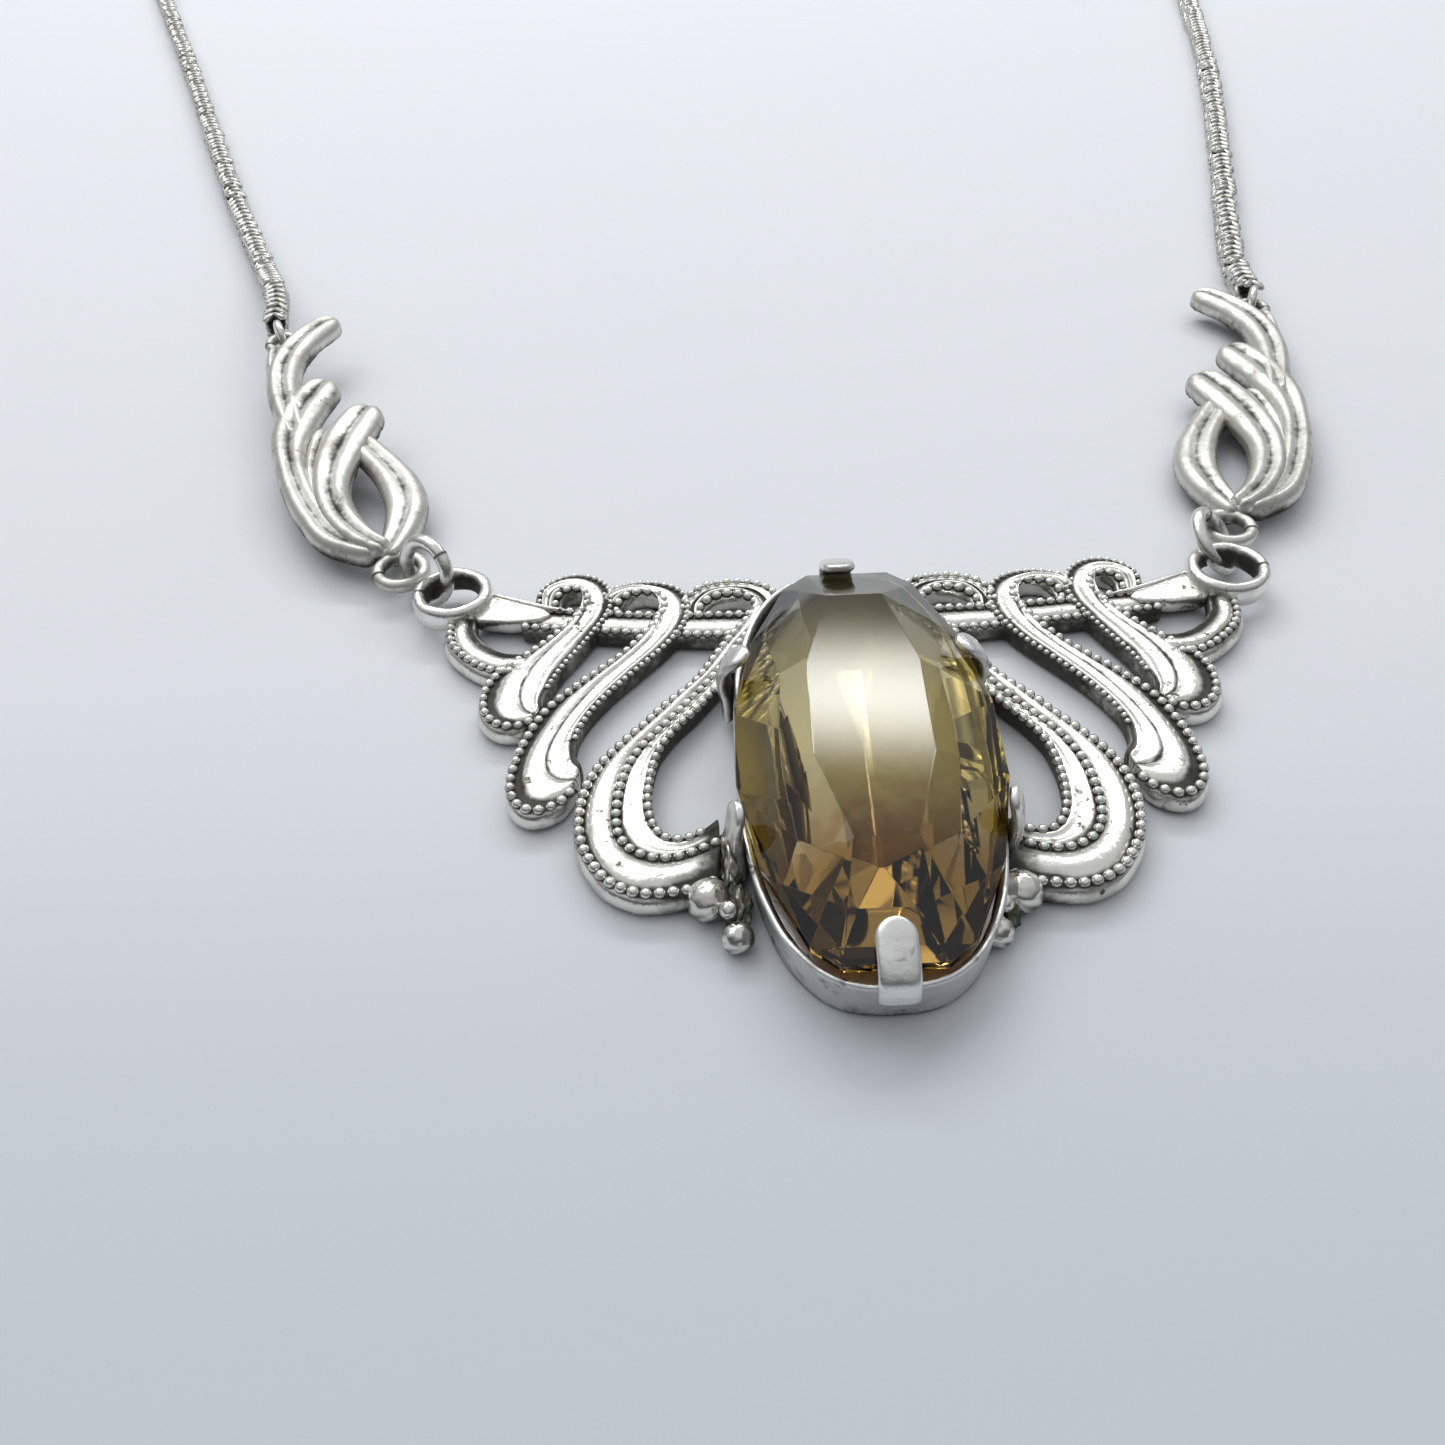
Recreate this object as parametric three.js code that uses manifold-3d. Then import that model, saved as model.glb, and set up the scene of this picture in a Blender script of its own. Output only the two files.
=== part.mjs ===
// A pendant necklace: an openwork silver centrepiece with a long faceted glass stone in a
// six-prong collar, two cast side links, two woven chains and a spring-ring clasp.
// Millimetres, +Z up. It lies face up on a flat surface, with the neck side towards +Y.
// The layout below is drawn with its zero midway between the two eyelets, on the surface.

import * as THREE from "three";
import { ConvexGeometry } from "three/addons/geometries/ConvexGeometry.js";
import { mergeVertices } from "three/addons/utils/BufferGeometryUtils.js";
import Module from "manifold-3d";

const wasm = await Module();
wasm.setup();

// ---- driving dimensions ----

const SOLDER_GAP = 0.05; // space left between pieces that are soldered together

// stone
const STONE_WIDTH = 12.1;
const STONE_LENGTH = 26.0;
const STONE_END_FLAT = 4.2; // width of the straight cut across each end
const TABLE_WIDTH = 5.3;
const TABLE_LENGTH = 16.3;
const TABLE_END_FLAT = 2.7;
const TABLE_SIDE_FLAT = 6.4;
const GIRDLE_LOW = 2.75; // height of the girdle's lower edge above the surface
const GIRDLE_THICK = 0.4;
const CROWN_HEIGHT = 2.3;
const PAVILION_DEPTH = 2.25;

// collar and its inner bearing
const COLLAR_WALL = 0.4;
const COLLAR_HEIGHT = 2.72;
const COLLAR_TUCK = 0.45; // how far the stone's sides reach out past the collar's inner face
const COLLAR_END_ROOM = 0.42; // beyond the stone's straight ends, where the collar stays round
const COLLAR_SQUARENESS = 2.6; // 2 is an ellipse, more is boxier
const COLLAR_TAPER = 0.045; // how much narrower its foot is than its rim, as a share
const COLLAR_CENTRE = new THREE.Vector2(0.4, -14.4);
const COLLAR_TURN = THREE.MathUtils.degToRad(2.2);
const LEDGE_WIDTH = 0.9;
const LEDGE_TOP = 2.15;
const LEDGE_THICK = 0.7;

// prongs
const PRONG_THICK = 0.5;
const PRONG_FOOT = 1.8; // height at which a prong leaves the collar wall
const END_PRONG_REACH = 1.4; // how far a prong leans in over the crown
const SIDE_PRONG_REACH = 0.4;
const END_PRONG_WIDTH = 1.8;
const SIDE_PRONG_WIDTH = 1.6;
const SIDE_PRONG_OFFSET = 5.1; // along the stone, from its middle

// openwork
const FRAME_THICK = 1.6;

// eyelets and jump rings
const EYELET_SPAN = 42.0; // between the two eyelet centres
const EYELET_DRAWN_SPAN = 42.0; // the span that the wings are drawn for
const EYELET_RADIUS = 1.87;
const EYELET_WIRE = 0.38;
const EYELET_HEIGHT = 1.3;
const JUMP_RADIUS = 1.65;
const JUMP_WIRE = 0.33;
const JUMP_PITCH = 4.3; // from a frame eyelet to the side link's eyelet

// side links
const LINK_EYE_RADIUS = 1.34;
const LINK_EYE_WIRE = 0.32;
const LINK_THICK = 1.7;
const LINK_LENGTH = 27.4; // from its lower eyelet to its lug
const LINK_DRAWN_LENGTH = 27.4; // the length that its strands and the chains' runs are drawn for
const LUG_RADIUS = 0.95;
const LUG_WIRE = 0.34;
const CHAIN_RING_RADIUS = 0.95;
const CHAIN_RING_WIRE = 0.27;

// chain, its stored coils and its ends
const CHAIN_DIAMETER = 1.7;
const CHAIN_LIFT = 0.02; // between the chain and the surface
const COIL_PITCH = 1.8; // between neighbouring turns of a coil
const END_LEAD = THREE.MathUtils.degToRad(22); // from a coil's last turn on to the fitting
const FACE_GAP = 0.3; // between a chain's stretch, its coil and its fittings
const CLASP_RADIUS = 2.4;
const CLASP_TUBE = 0.68;
const CLASP_BORE = 0.44;
const CLASP_MOUTH = THREE.MathUtils.degToRad(62);
const BOLT_RADIUS = 0.32;
const SPRING_RADIUS = 0.34;
const SPRING_WIRE = 0.07;
const SPRING_TURNS = 9;
const CLASP_EYE_RADIUS = 0.85;
const CLASP_EYE_WIRE = 0.27;
const END_RING_RADIUS = 1.6;
const END_RING_WIRE = 0.36;

// ---- materials ----

const silver = (color, roughness) =>
  new THREE.MeshStandardMaterial({ color, roughness, metalness: 1 });
const glass = (color) =>
  new THREE.MeshStandardMaterial({ color, roughness: 0.06, metalness: 0 });

// ---- solids ----

function solidOf(geometry) {
  const bare = geometry.index ? geometry.toNonIndexed() : geometry.clone();
  bare.deleteAttribute("normal");
  bare.deleteAttribute("uv");
  const merged = mergeVertices(bare, 1e-4);
  return new wasm.Manifold(
    new wasm.Mesh({
      numProp: 3,
      vertProperties: merged.attributes.position.array,
      triVerts: new Uint32Array(merged.index.array),
    }),
  );
}

function geometryOf(solid) {
  const mesh = solid.getMesh();
  const geometry = new THREE.BufferGeometry();
  const places = new THREE.BufferAttribute(mesh.vertProperties, mesh.numProp);
  geometry.setAttribute("position", places);
  geometry.setIndex(new THREE.BufferAttribute(mesh.triVerts, 1));
  return geometry;
}

const joined = (solids) => solids.reduce((whole, next) => whole.add(next));
const cutBy = (solid, cutters) =>
  cutters.reduce((left, cutter) => left.subtract(cutter), solid);

function part(name, shape, material) {
  const geometry = shape.isBufferGeometry ? shape : geometryOf(shape);
  geometry.computeVertexNormals();
  const mesh = new THREE.Mesh(geometry, material);
  mesh.name = name;
  return mesh;
}

function plate(outline, low, high, hole = null) {
  const shape = new THREE.Shape(outline);
  if (hole) shape.holes.push(new THREE.Path(hole));
  const geometry = new THREE.ExtrudeGeometry(shape, { depth: high - low, bevelEnabled: false });
  return geometry.translate(0, 0, low);
}

// A closed ring of round wire in the XY plane.
function wireRing(radius, wire, around = 28, sides = 8) {
  return new THREE.TorusGeometry(radius, wire, sides, around);
}

// A band of changing width: stations are [x, y, half width] along its middle.
function band(stations, thickness, samples = 14) {
  const line = new THREE.CatmullRomCurve3(stations.map(([x, y, half]) => new THREE.Vector3(x, y, half)));
  const points = line.getPoints(samples);
  const left = [];
  const right = [];
  points.forEach((point, index) => {
    const tangent = line.getTangent(index / samples).setZ(0).normalize();
    const side = new THREE.Vector2(-tangent.y, tangent.x).multiplyScalar(point.z);
    left.push(new THREE.Vector2(point.x, point.y).add(side));
    right.push(new THREE.Vector2(point.x, point.y).sub(side));
  });
  return solidOf(plate([...left, ...right.reverse()], 0, thickness));
}

function disc(x, y, radius, thickness, sides = 20) {
  const geometry = new THREE.CylinderGeometry(radius, radius, thickness, sides);
  return solidOf(geometry.rotateX(Math.PI / 2).translate(x, y, thickness / 2));
}

// ---- stone, collar, bearing and prongs, in the stone's own frame ----

// The girdle: two long arcs, cut straight across at both ends.
function girdleOutline(steps = 12) {
  const halfWidth = STONE_WIDTH / 2;
  const endHalf = STONE_END_FLAT / 2;
  const end = Math.acos(endHalf / halfWidth);
  const arcLength = STONE_LENGTH / 2 / Math.sin(end);
  const right = Array.from({ length: steps + 1 }, (_, i) => {
    const angle = -end + (2 * end * i) / steps;
    return new THREE.Vector2(halfWidth * Math.cos(angle), arcLength * Math.sin(angle));
  });
  const left = right.map((point) => new THREE.Vector2(-point.x, -point.y));
  return [...right, ...left];
}

// The collar and its bearing: a full oval, grown by a given amount from the collar's inner face.
const collarHalfWidth = STONE_WIDTH / 2 - COLLAR_TUCK;
const collarHalfLength = STONE_LENGTH / 2 + COLLAR_END_ROOM;

function collarPoint(grow, angle) {
  const power = 2 / COLLAR_SQUARENESS;
  const share = (value) => Math.sign(value) * Math.abs(value) ** power;
  const x = (collarHalfWidth + grow) * share(Math.cos(angle));
  const y = (collarHalfLength + grow) * share(Math.sin(angle));
  return new THREE.Vector2(x, y);
}

function collarOutline(grow, steps = 44) {
  return Array.from({ length: steps }, (_, i) => collarPoint(grow, (Math.PI * 2 * (i + 0.5)) / steps));
}

// The collar narrows towards its foot, and so does what is cut to fit it.
function tapered(geometry) {
  const places = geometry.attributes.position;
  for (let i = 0; i < places.count; i += 1) {
    const scale = 1 - COLLAR_TAPER * (1 - places.getZ(i) / COLLAR_HEIGHT);
    places.setXY(i, places.getX(i) * scale, places.getY(i) * scale);
  }
  return geometry;
}

function octagon(width, length, sideFlat, endFlat) {
  const corners = [];
  for (const [sx, sy] of [[1, 1], [-1, 1], [-1, -1], [1, -1]]) {
    corners.push([(sx * width) / 2, (sy * sideFlat) / 2]);
    corners.push([(sx * endFlat) / 2, (sy * length) / 2]);
  }
  return corners;
}

function stoneSolid(grow) {
  const girdleTop = GIRDLE_LOW + GIRDLE_THICK;
  const at = (points, z) => points.map(([x, y]) => new THREE.Vector3(x, y, z));
  const rim = girdleOutline().map(({ x, y }) => [x + Math.sign(x) * grow, y + Math.sign(y) * grow]);
  const table = octagon(TABLE_WIDTH + grow, TABLE_LENGTH + grow, TABLE_SIDE_FLAT, TABLE_END_FLAT);
  const step = octagon(STONE_WIDTH * 0.62, STONE_LENGTH * 0.74, STONE_LENGTH * 0.34, STONE_WIDTH * 0.26);
  const keel = octagon(STONE_WIDTH * 0.16, STONE_LENGTH * 0.5, STONE_LENGTH * 0.4, STONE_WIDTH * 0.1);
  const hull = new ConvexGeometry([
    ...at(table, girdleTop + CROWN_HEIGHT + grow),
    ...at(rim, girdleTop + grow * 0.5),
    ...at(rim, GIRDLE_LOW - grow * 0.5),
    ...at(step, GIRDLE_LOW - PAVILION_DEPTH * 0.6),
    ...at(keel, GIRDLE_LOW - PAVILION_DEPTH),
  ]);
  return solidOf(hull);
}

function collarSolid() {
  return solidOf(tapered(plate(collarOutline(COLLAR_WALL), 0, COLLAR_HEIGHT, collarOutline(0))));
}

function ledgeSolid() {
  const low = LEDGE_TOP - LEDGE_THICK;
  return solidOf(tapered(plate(collarOutline(-SOLDER_GAP), low, LEDGE_TOP, collarOutline(-LEDGE_WIDTH))));
}

// A bent tab: up the outside of the collar, then in over the crown; +X is outwards.
function prongSolid(width, slope, endRoom, reach) {
  const girdleTop = GIRDLE_LOW + GIRDLE_THICK;
  const out = Math.max(COLLAR_WALL, -endRoom) + SOLDER_GAP;
  const lean = (inward, lift) => new THREE.Vector2(-inward - endRoom, girdleTop + lift + inward * slope);
  const outline = [
    new THREE.Vector2(-0.1, PRONG_FOOT),
    new THREE.Vector2(out + PRONG_THICK * 0.7, PRONG_FOOT),
    new THREE.Vector2(out + PRONG_THICK, girdleTop * 0.85),
    new THREE.Vector2(out + PRONG_THICK * 0.7, girdleTop + PRONG_THICK * 0.7),
    lean(0, PRONG_THICK * 1.5),
    lean(reach * 0.8, PRONG_THICK * 1.1),
    lean(reach, PRONG_THICK * 0.6),
    lean(reach, -0.3),
    new THREE.Vector2(-0.1 - endRoom, girdleTop - 0.2),
  ];
  const sheet = plate(outline, -width / 2, width / 2);
  return solidOf(sheet.rotateX(Math.PI / 2));
}

const crownSlopeEnd = CROWN_HEIGHT / ((STONE_LENGTH - TABLE_LENGTH) / 2);
const crownSlopeSide = CROWN_HEIGHT / ((STONE_WIDTH - TABLE_WIDTH) / 2);

const PRONGS = {
  prong_top: { end: 1 },
  prong_bottom: { end: -1 },
  prong_upper_right: { side: 1, along: 1 },
  prong_lower_right: { side: 1, along: -1 },
  prong_upper_left: { side: -1, along: 1 },
  prong_lower_left: { side: -1, along: -1 },
};

// The room that a prong's foot takes out of the openwork beside the collar.
function prongNotch(width) {
  const out = COLLAR_WALL + PRONG_THICK + SOLDER_GAP * 2;
  const half = width / 2 + SOLDER_GAP;
  const corners = [[-0.3, -half], [out, -half], [out, half], [-0.3, half]];
  const outline = corners.map(([x, y]) => new THREE.Vector2(x, y));
  return solidOf(plate(outline, PRONG_FOOT - SOLDER_GAP, COLLAR_HEIGHT));
}

// Moves a shape made at the collar's inner face, facing +X, to where its prong stands.
function besideStone({ end, side, along }, make) {
  if (end) {
    const tab = make(END_PRONG_WIDTH, crownSlopeEnd, COLLAR_END_ROOM, END_PRONG_REACH);
    return tab.rotate([0, 0, 90 * end]).translate([0, end * collarHalfLength, 0]);
  }
  const height = along * SIDE_PRONG_OFFSET;
  const share = 1 - (Math.abs(height) / collarHalfLength) ** COLLAR_SQUARENESS;
  const width = side * collarHalfWidth * share ** (1 / COLLAR_SQUARENESS);
  const roundness = (STONE_WIDTH / STONE_LENGTH) ** 2;
  const lean = along * side * Math.atan((SIDE_PRONG_OFFSET * roundness) / Math.abs(width));
  const facing = side > 0 ? lean : Math.PI + lean;
  const tab = make(SIDE_PRONG_WIDTH, crownSlopeSide, -COLLAR_TUCK, SIDE_PRONG_REACH);
  return tab.rotate([0, 0, THREE.MathUtils.radToDeg(facing)]).translate([width, height, 0]);
}

function inLayout(solid) {
  return solid
    .rotate([0, 0, THREE.MathUtils.radToDeg(COLLAR_TURN)])
    .translate([COLLAR_CENTRE.x, COLLAR_CENTRE.y, 0]);
}

// ---- openwork wing, drawn for the right-hand side ----

// Four scrolls hang from a rail; each entry is [x, y, half width].
const SCROLL_ONE = [
  [5.2, -4.6, 0.55], [6.6, -6.8, 0.7], [8.0, -8.9, 0.95], [9.6, -11.4, 1.25], [10.8, -13.9, 1.5],
  [11.2, -16.2, 1.6], [10.9, -18.2, 1.7], [9.8, -19.7, 1.75], [8.2, -20.2, 1.65], [6.0, -19.4, 1.3],
];
const SCROLL_TWO = [
  [9.4, -2.4, 0.8], [10.6, -4.9, 0.85], [12.0, -6.9, 0.95], [13.3, -8.8, 1.05],
  [14.3, -10.8, 1.15], [14.85, -12.7, 1.35], [14.95, -14.2, 1.45],
];
const SCROLL_TWO_CURL = [14.85, -14.65, 1.75];
const SCROLL_THREE = [
  [13.2, -1.0, 0.75], [14.3, -3.3, 0.95], [15.5, -5.2, 1.1], [16.4, -7.0, 1.4], [16.7, -8.5, 1.6],
];
const SCROLL_THREE_CURL = [16.85, -8.95, 1.8];
const LEAF = [
  [20.1, -2.2, 0.5], [19.9, -3.6, 0.55], [19.1, -4.7, 0.6], [17.9, -5.5, 0.7], [16.2, -5.6, 0.7],
];
// Where a curl turns back and touches the scroll beside it.
const CURL_BRIDGES = [[13.3, -14.1, 0.95], [15.3, -8.6, 0.8]];
const RAIL = [[3.4, -2.7, 0.85], [9.0, -2.5, 0.9], [14.2, -1.9, 0.9]];
const ARCHES = [
  [[3.8, -2.0, 0.5], [4.2, -0.3, 0.6], [5.9, 0.35, 0.55], [7.6, -0.2, 0.6], [8.6, -1.8, 0.6]],
  [[8.4, -1.8, 0.55], [9.0, 0.0, 0.6], [10.5, 0.5, 0.5], [11.9, 0.1, 0.55], [12.5, -1.4, 0.6]],
  [[12.3, -1.5, 0.6], [12.7, 0.4, 0.65], [13.7, 1.35, 0.6], [14.9, 1.1, 0.55], [15.6, 0.0, 0.5], [15.7, -1.2, 0.5]],
];
const END_PLATE = [
  [14.0, -0.9], [15.7, -1.0], [16.8, -0.4], [18.0, 0.3], [19.3, 0.5], [20.6, -1.4], [20.6, -2.5], [15.4, -2.5], [13.6, -3.0],
];

const eyeletX = EYELET_SPAN / 2;

function eyeletSolid(grow) {
  return solidOf(wireRing(EYELET_RADIUS, EYELET_WIRE + grow).translate(eyeletX, 0, EYELET_HEIGHT));
}

// The bored disc of metal that an eyelet's ring clears in the end plate.
function eyeletClearance() {
  const radius = EYELET_RADIUS + EYELET_WIRE + SOLDER_GAP;
  return disc(eyeletX, 0, radius, FRAME_THICK * 3, 32).translate([0, 0, -FRAME_THICK]);
}

// Small balls that fill the corner between the collar and the first scroll: [x, y, z, radius].
const GRANULES = {
  large: [6.75, -21.9, 0.98, 0.96],
  small: [5.5, -23.85, 0.74, 0.7],
  tiny: [5.9, -22.95, 1.5, 0.36],
};

function granuleSolid([x, y, z, radius], grow) {
  return solidOf(new THREE.SphereGeometry(radius + grow, 16, 10).rotateX(Math.PI / 2).translate(x, y, z));
}

function wingSolid(cutters) {
  const bands = [SCROLL_ONE, SCROLL_TWO, SCROLL_THREE, LEAF, RAIL, ...ARCHES].map((stations) =>
    band(stations, FRAME_THICK, stations.length > 8 ? 22 : 12),
  );
  const rounds = [SCROLL_TWO_CURL, SCROLL_THREE_CURL, ...CURL_BRIDGES];
  const curls = rounds.map(([x, y, radius]) => disc(x, y, radius, FRAME_THICK));
  const endPlate = solidOf(plate(END_PLATE.map(([x, y]) => new THREE.Vector2(x, y)), 0, FRAME_THICK));
  const whole = joined([...bands, ...curls, endPlate]).scale([EYELET_SPAN / EYELET_DRAWN_SPAN, 1, 1]);
  const balls = Object.values(GRANULES).map((ball) => granuleSolid(ball, SOLDER_GAP));
  return cutBy(whole, [...cutters, ...balls, eyeletClearance()]);
}

const mirrored = (solid) => solid.mirror([1, 0, 0]);

// ---- side link: +Y runs from its lower eyelet to its lug, +X is outwards ----

const LINK_STRANDS = [
  [
    [0.5, 1.4, 0.75], [-0.9, 3.4, 0.95], [-1.8, 5.6, 1.1], [-2.0, 7.8, 1.1], [-1.75, 10.0, 1.0], [-1.4, 12.2, 0.85],
    [-1.7, 14.2, 0.7],
  ],
  [
    [0.4, 1.7, 0.7], [1.5, 3.6, 0.85], [2.0, 6.0, 1.0], [1.95, 8.5, 1.0], [1.1, 11.0, 1.0], [-0.3, 13.2, 1.0],
    [-1.5, 14.8, 0.9], [-2.1, 15.6, 0.75],
  ],
  [
    [0.9, 1.7, 0.7], [2.8, 4.0, 0.8], [3.4, 6.8, 0.85], [3.6, 9.8, 0.85], [3.5, 12.6, 0.85], [2.8, 15.4, 0.95],
    [1.4, 18.0, 1.0], [0.1, 19.6, 0.9], [-0.6, 20.4, 0.75],
  ],
  [[2.7, 8.0, 0.5], [2.4, 11.0, 0.6], [1.4, 13.8, 0.8], [0.1, 16.2, 0.8], [-0.8, 17.4, 0.7]],
  [
    [2.5, 15.2, 0.7], [2.4, 18.6, 0.85], [2.1, 21.6, 0.95], [1.3, 24.2, 1.0], [-0.1, 26.3, 1.0], [-1.8, 27.6, 0.9],
    [-2.8, 28.1, 0.8],
  ],
  [[2.2, 20.0, 0.6], [2.2, 23.6, 0.6], [1.4, 26.9, 0.5]],
];
const LINK_TIPS = [[-2.1, 15.6, 0.8], [-0.8, 17.4, 0.7], [-0.6, 20.4, 0.8], [-2.8, 28.1, 0.85]];
const linkDrawn = ([x, y, half]) => [x, (y * LINK_LENGTH) / LINK_DRAWN_LENGTH, half];
const LUG_SIDE = 0.9;

function linkSolid() {
  const strands = LINK_STRANDS.map((stations) => band(stations.map(linkDrawn), LINK_THICK, 12));
  const tips = LINK_TIPS.map(linkDrawn).map(([x, y, radius]) => disc(x, y, radius, LINK_THICK, 16));
  const body = joined([...strands, ...tips]).translate([0, 0, -LINK_THICK / 2]);
  const eye = solidOf(wireRing(LINK_EYE_RADIUS, LINK_EYE_WIRE, 24));
  const eyeBore = disc(0, 0, LINK_EYE_RADIUS, LINK_THICK * 2).translate([0, 0, -LINK_THICK]);
  const lug = solidOf(wireRing(LUG_RADIUS, LUG_WIRE, 18).translate(LUG_SIDE, LINK_LENGTH, 0));
  const lugBore = disc(LUG_SIDE, LINK_LENGTH, LUG_RADIUS, LINK_THICK * 2).translate([0, 0, -LINK_THICK]);
  return joined([cutBy(body, [eyeBore, lugBore]), eye, lug]);
}

// How each side hangs from its eyelet, in degrees: which way the jump ring pulls, how the side
// link lies, and how far the jump ring leans up from lying flat. The ring's middle is given
// along and across the pull from the eyelet's, and above the surface.
const degrees = THREE.MathUtils.degToRad;
const SIDES = {
  right: { pull: degrees(-14.5), yaw: degrees(-15.5), lift: 0, lean: degrees(50), ring: [2.41, 0.77, 1.68] },
  left: { pull: degrees(-51), yaw: degrees(-24), lift: degrees(3.5), lean: degrees(75), ring: [2.37, 0.35, 2.0] },
};
const JUMP_TIP = degrees(-3.6);

function placedJumpRing(side) {
  const ring = new THREE.Group();
  const lean = new THREE.Group();
  const hoop = part(`jump_ring_${side}`, wireRing(JUMP_RADIUS, JUMP_WIRE), silver(0xc9c7bd, 0.22));
  hoop.rotation.x = SIDES[side].lean;
  lean.rotation.y = JUMP_TIP;
  lean.position.set(...SIDES[side].ring);
  lean.add(hoop);
  ring.rotation.z = Math.PI / 2 + SIDES[side].pull;
  ring.position.set(eyeletX, 0, 0);
  ring.add(lean);
  return ring;
}

function placedLink(side) {
  const { pull, yaw, lift } = SIDES[side];
  const seat = new THREE.Group();
  seat.position.set(eyeletX - JUMP_PITCH * Math.sin(pull), JUMP_PITCH * Math.cos(pull), EYELET_HEIGHT);
  seat.rotation.set(lift, 0, yaw, "ZYX");
  seat.add(part(`side_link_${side}`, linkSolid(), silver(0xb9b7ac, 0.3)));
  const hoop = part(`chain_ring_${side}`, wireRing(CHAIN_RING_RADIUS, CHAIN_RING_WIRE, 20), silver(0xc4c2b8, 0.25));
  hoop.rotation.y = Math.PI / 2;
  hoop.position.set(LUG_SIDE, LINK_LENGTH + CHAIN_RING_RADIUS, 0);
  seat.add(hoop);
  return seat;
}

// ---- chains ----

// Chosen points of each chain's run from its side link to its coil: [x, y, z].
const CHAIN_ROUTES = {
  right: [
    [30.75, 34.2, 1.3], [30.9, 36.0, 1.1], [31.2, 38.6, 0.89], [32.0, 43.0, 0.87], [33.1, 48.5, 0.87],
    [34.3, 54.0, 0.87], [35.5, 60.0, 0.87], [36.7, 66.0, 0.87], [37.9, 72.0, 0.87], [39.0, 78.0, 0.87],
    [40.0, 84.0, 0.87], [40.9, 90.0, 0.87], [41.7, 96.0, 0.87], [42.5, 102.0, 0.87], [43.2, 107.0, 0.87],
    [43.9, 112.0, 0.87], [44.8, 119.4, 0.87],
  ],
  left: [
    [-38.4, 34.4, 3.0], [-39.2, 36.4, 2.75], [-40.1, 38.7, 2.3], [-41.3, 41.8, 1.65], [-43.2, 46.4, 1.05],
    [-45.7, 52.4, 0.87], [-48.5, 59.2, 0.87], [-51.4, 66.5, 0.87], [-54.4, 74.2, 0.87], [-57.5, 82.2, 0.87],
    [-60.6, 90.2, 0.87], [-63.8, 98.2, 0.87], [-67.0, 106.2, 0.87], [-70.2, 114.2, 0.87], [-73.3, 122.0, 0.87],
    [-77.2, 132.5, 0.87],
  ],
};

// A coil starts where its run ends, and winds inwards: turns, and which way it curls.
const COILS = {
  right: { turns: 1.45, outer: 9.7, curl: 1 },
  left: { turns: 1.1, outer: 9.5, curl: -1 },
};

// A run moves along with the lug it hangs from.
function chainRun(side) {
  const outwards = side === "right" ? 1 : -1;
  const { yaw } = SIDES[side];
  const along = new THREE.Vector3(-Math.sin(yaw) * outwards, Math.cos(yaw), 0);
  const moved = along.multiplyScalar(LINK_LENGTH - LINK_DRAWN_LENGTH);
  return CHAIN_ROUTES[side].map(([x, y, z]) => new THREE.Vector3(x, y, z).add(moved));
}

function runEnd(side) {
  const route = chainRun(side);
  const last = route[route.length - 1];
  const heading = last.clone().sub(route[route.length - 2]).setZ(0).normalize();
  return { last, heading };
}

function coilCentre(side) {
  const { last, heading } = runEnd(side);
  const { outer, curl } = COILS[side];
  const inward = new THREE.Vector3(-heading.y, heading.x, 0).multiplyScalar(curl * outer);
  return last.clone().add(inward);
}

// Where round its coil a chain's inner end comes to the fitting on it.
function fittingAngle(side) {
  const { turns, curl } = COILS[side];
  const centre = coilCentre(side);
  const { last } = runEnd(side);
  const start = Math.atan2(last.y - centre.y, last.x - centre.x);
  return start + curl * (turns * Math.PI * 2 + END_LEAD);
}

function coilInside(side) {
  const { turns, outer } = COILS[side];
  return outer - COIL_PITCH * turns - CHAIN_DIAMETER / 2;
}

function chainTube(side) {
  const path = new THREE.CatmullRomCurve3(chainRun(side));
  const section = new THREE.Shape();
  section.absarc(0, 0, CHAIN_DIAMETER / 2, 0, Math.PI * 2);
  const steps = Math.round(path.getLength() / (CHAIN_DIAMETER * 2.2));
  const tube = new THREE.ExtrudeGeometry(section, { steps, curveSegments: 4, extrudePath: path });
  return cutBy(solidOf(tube), [solidOf(coilRing(side, FACE_GAP))]);
}

function coilRing(side, grow) {
  const wide = COILS[side].outer + CHAIN_DIAMETER / 2 + grow;
  const narrow = coilInside(side) - grow;
  const low = CHAIN_LIFT - grow;
  const high = CHAIN_LIFT + CHAIN_DIAMETER + grow;
  const edge = CHAIN_DIAMETER * 0.25;
  const profile = [
    [narrow, low + edge], [narrow + edge, low], [wide - edge, low], [wide, low + edge],
    [wide, high - edge], [wide - edge, high], [narrow + edge, high], [narrow, high - edge], [narrow, low + edge],
  ].map(([r, z]) => new THREE.Vector2(r, z));
  const ring = new THREE.LatheGeometry(profile, 32).rotateX(Math.PI / 2);
  const centre = coilCentre(side);
  return ring.translate(centre.x, centre.y, 0);
}

// ---- clasp, centred on its own ring, mouth towards +X ----

function arcTube(radius, tube, from, to, steps) {
  const arc = Array.from({ length: steps + 1 }, (_, i) => {
    const angle = from + ((to - from) * i) / steps;
    return new THREE.Vector3(radius * Math.cos(angle), radius * Math.sin(angle), 0);
  });
  const section = new THREE.Shape();
  section.absarc(0, 0, tube, 0, Math.PI * 2);
  const path = new THREE.CatmullRomCurve3(arc);
  const geometry = new THREE.ExtrudeGeometry(section, { steps, curveSegments: 5, extrudePath: path });
  return solidOf(geometry);
}

const BOLT_TRAVEL = THREE.MathUtils.degToRad(54);
const boltStart = -CLASP_MOUTH / 2 - THREE.MathUtils.degToRad(12);
const boltEnd = CLASP_MOUTH / 2 + THREE.MathUtils.degToRad(8);
const thumbAngle = CLASP_MOUTH / 2 + THREE.MathUtils.degToRad(6);

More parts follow.
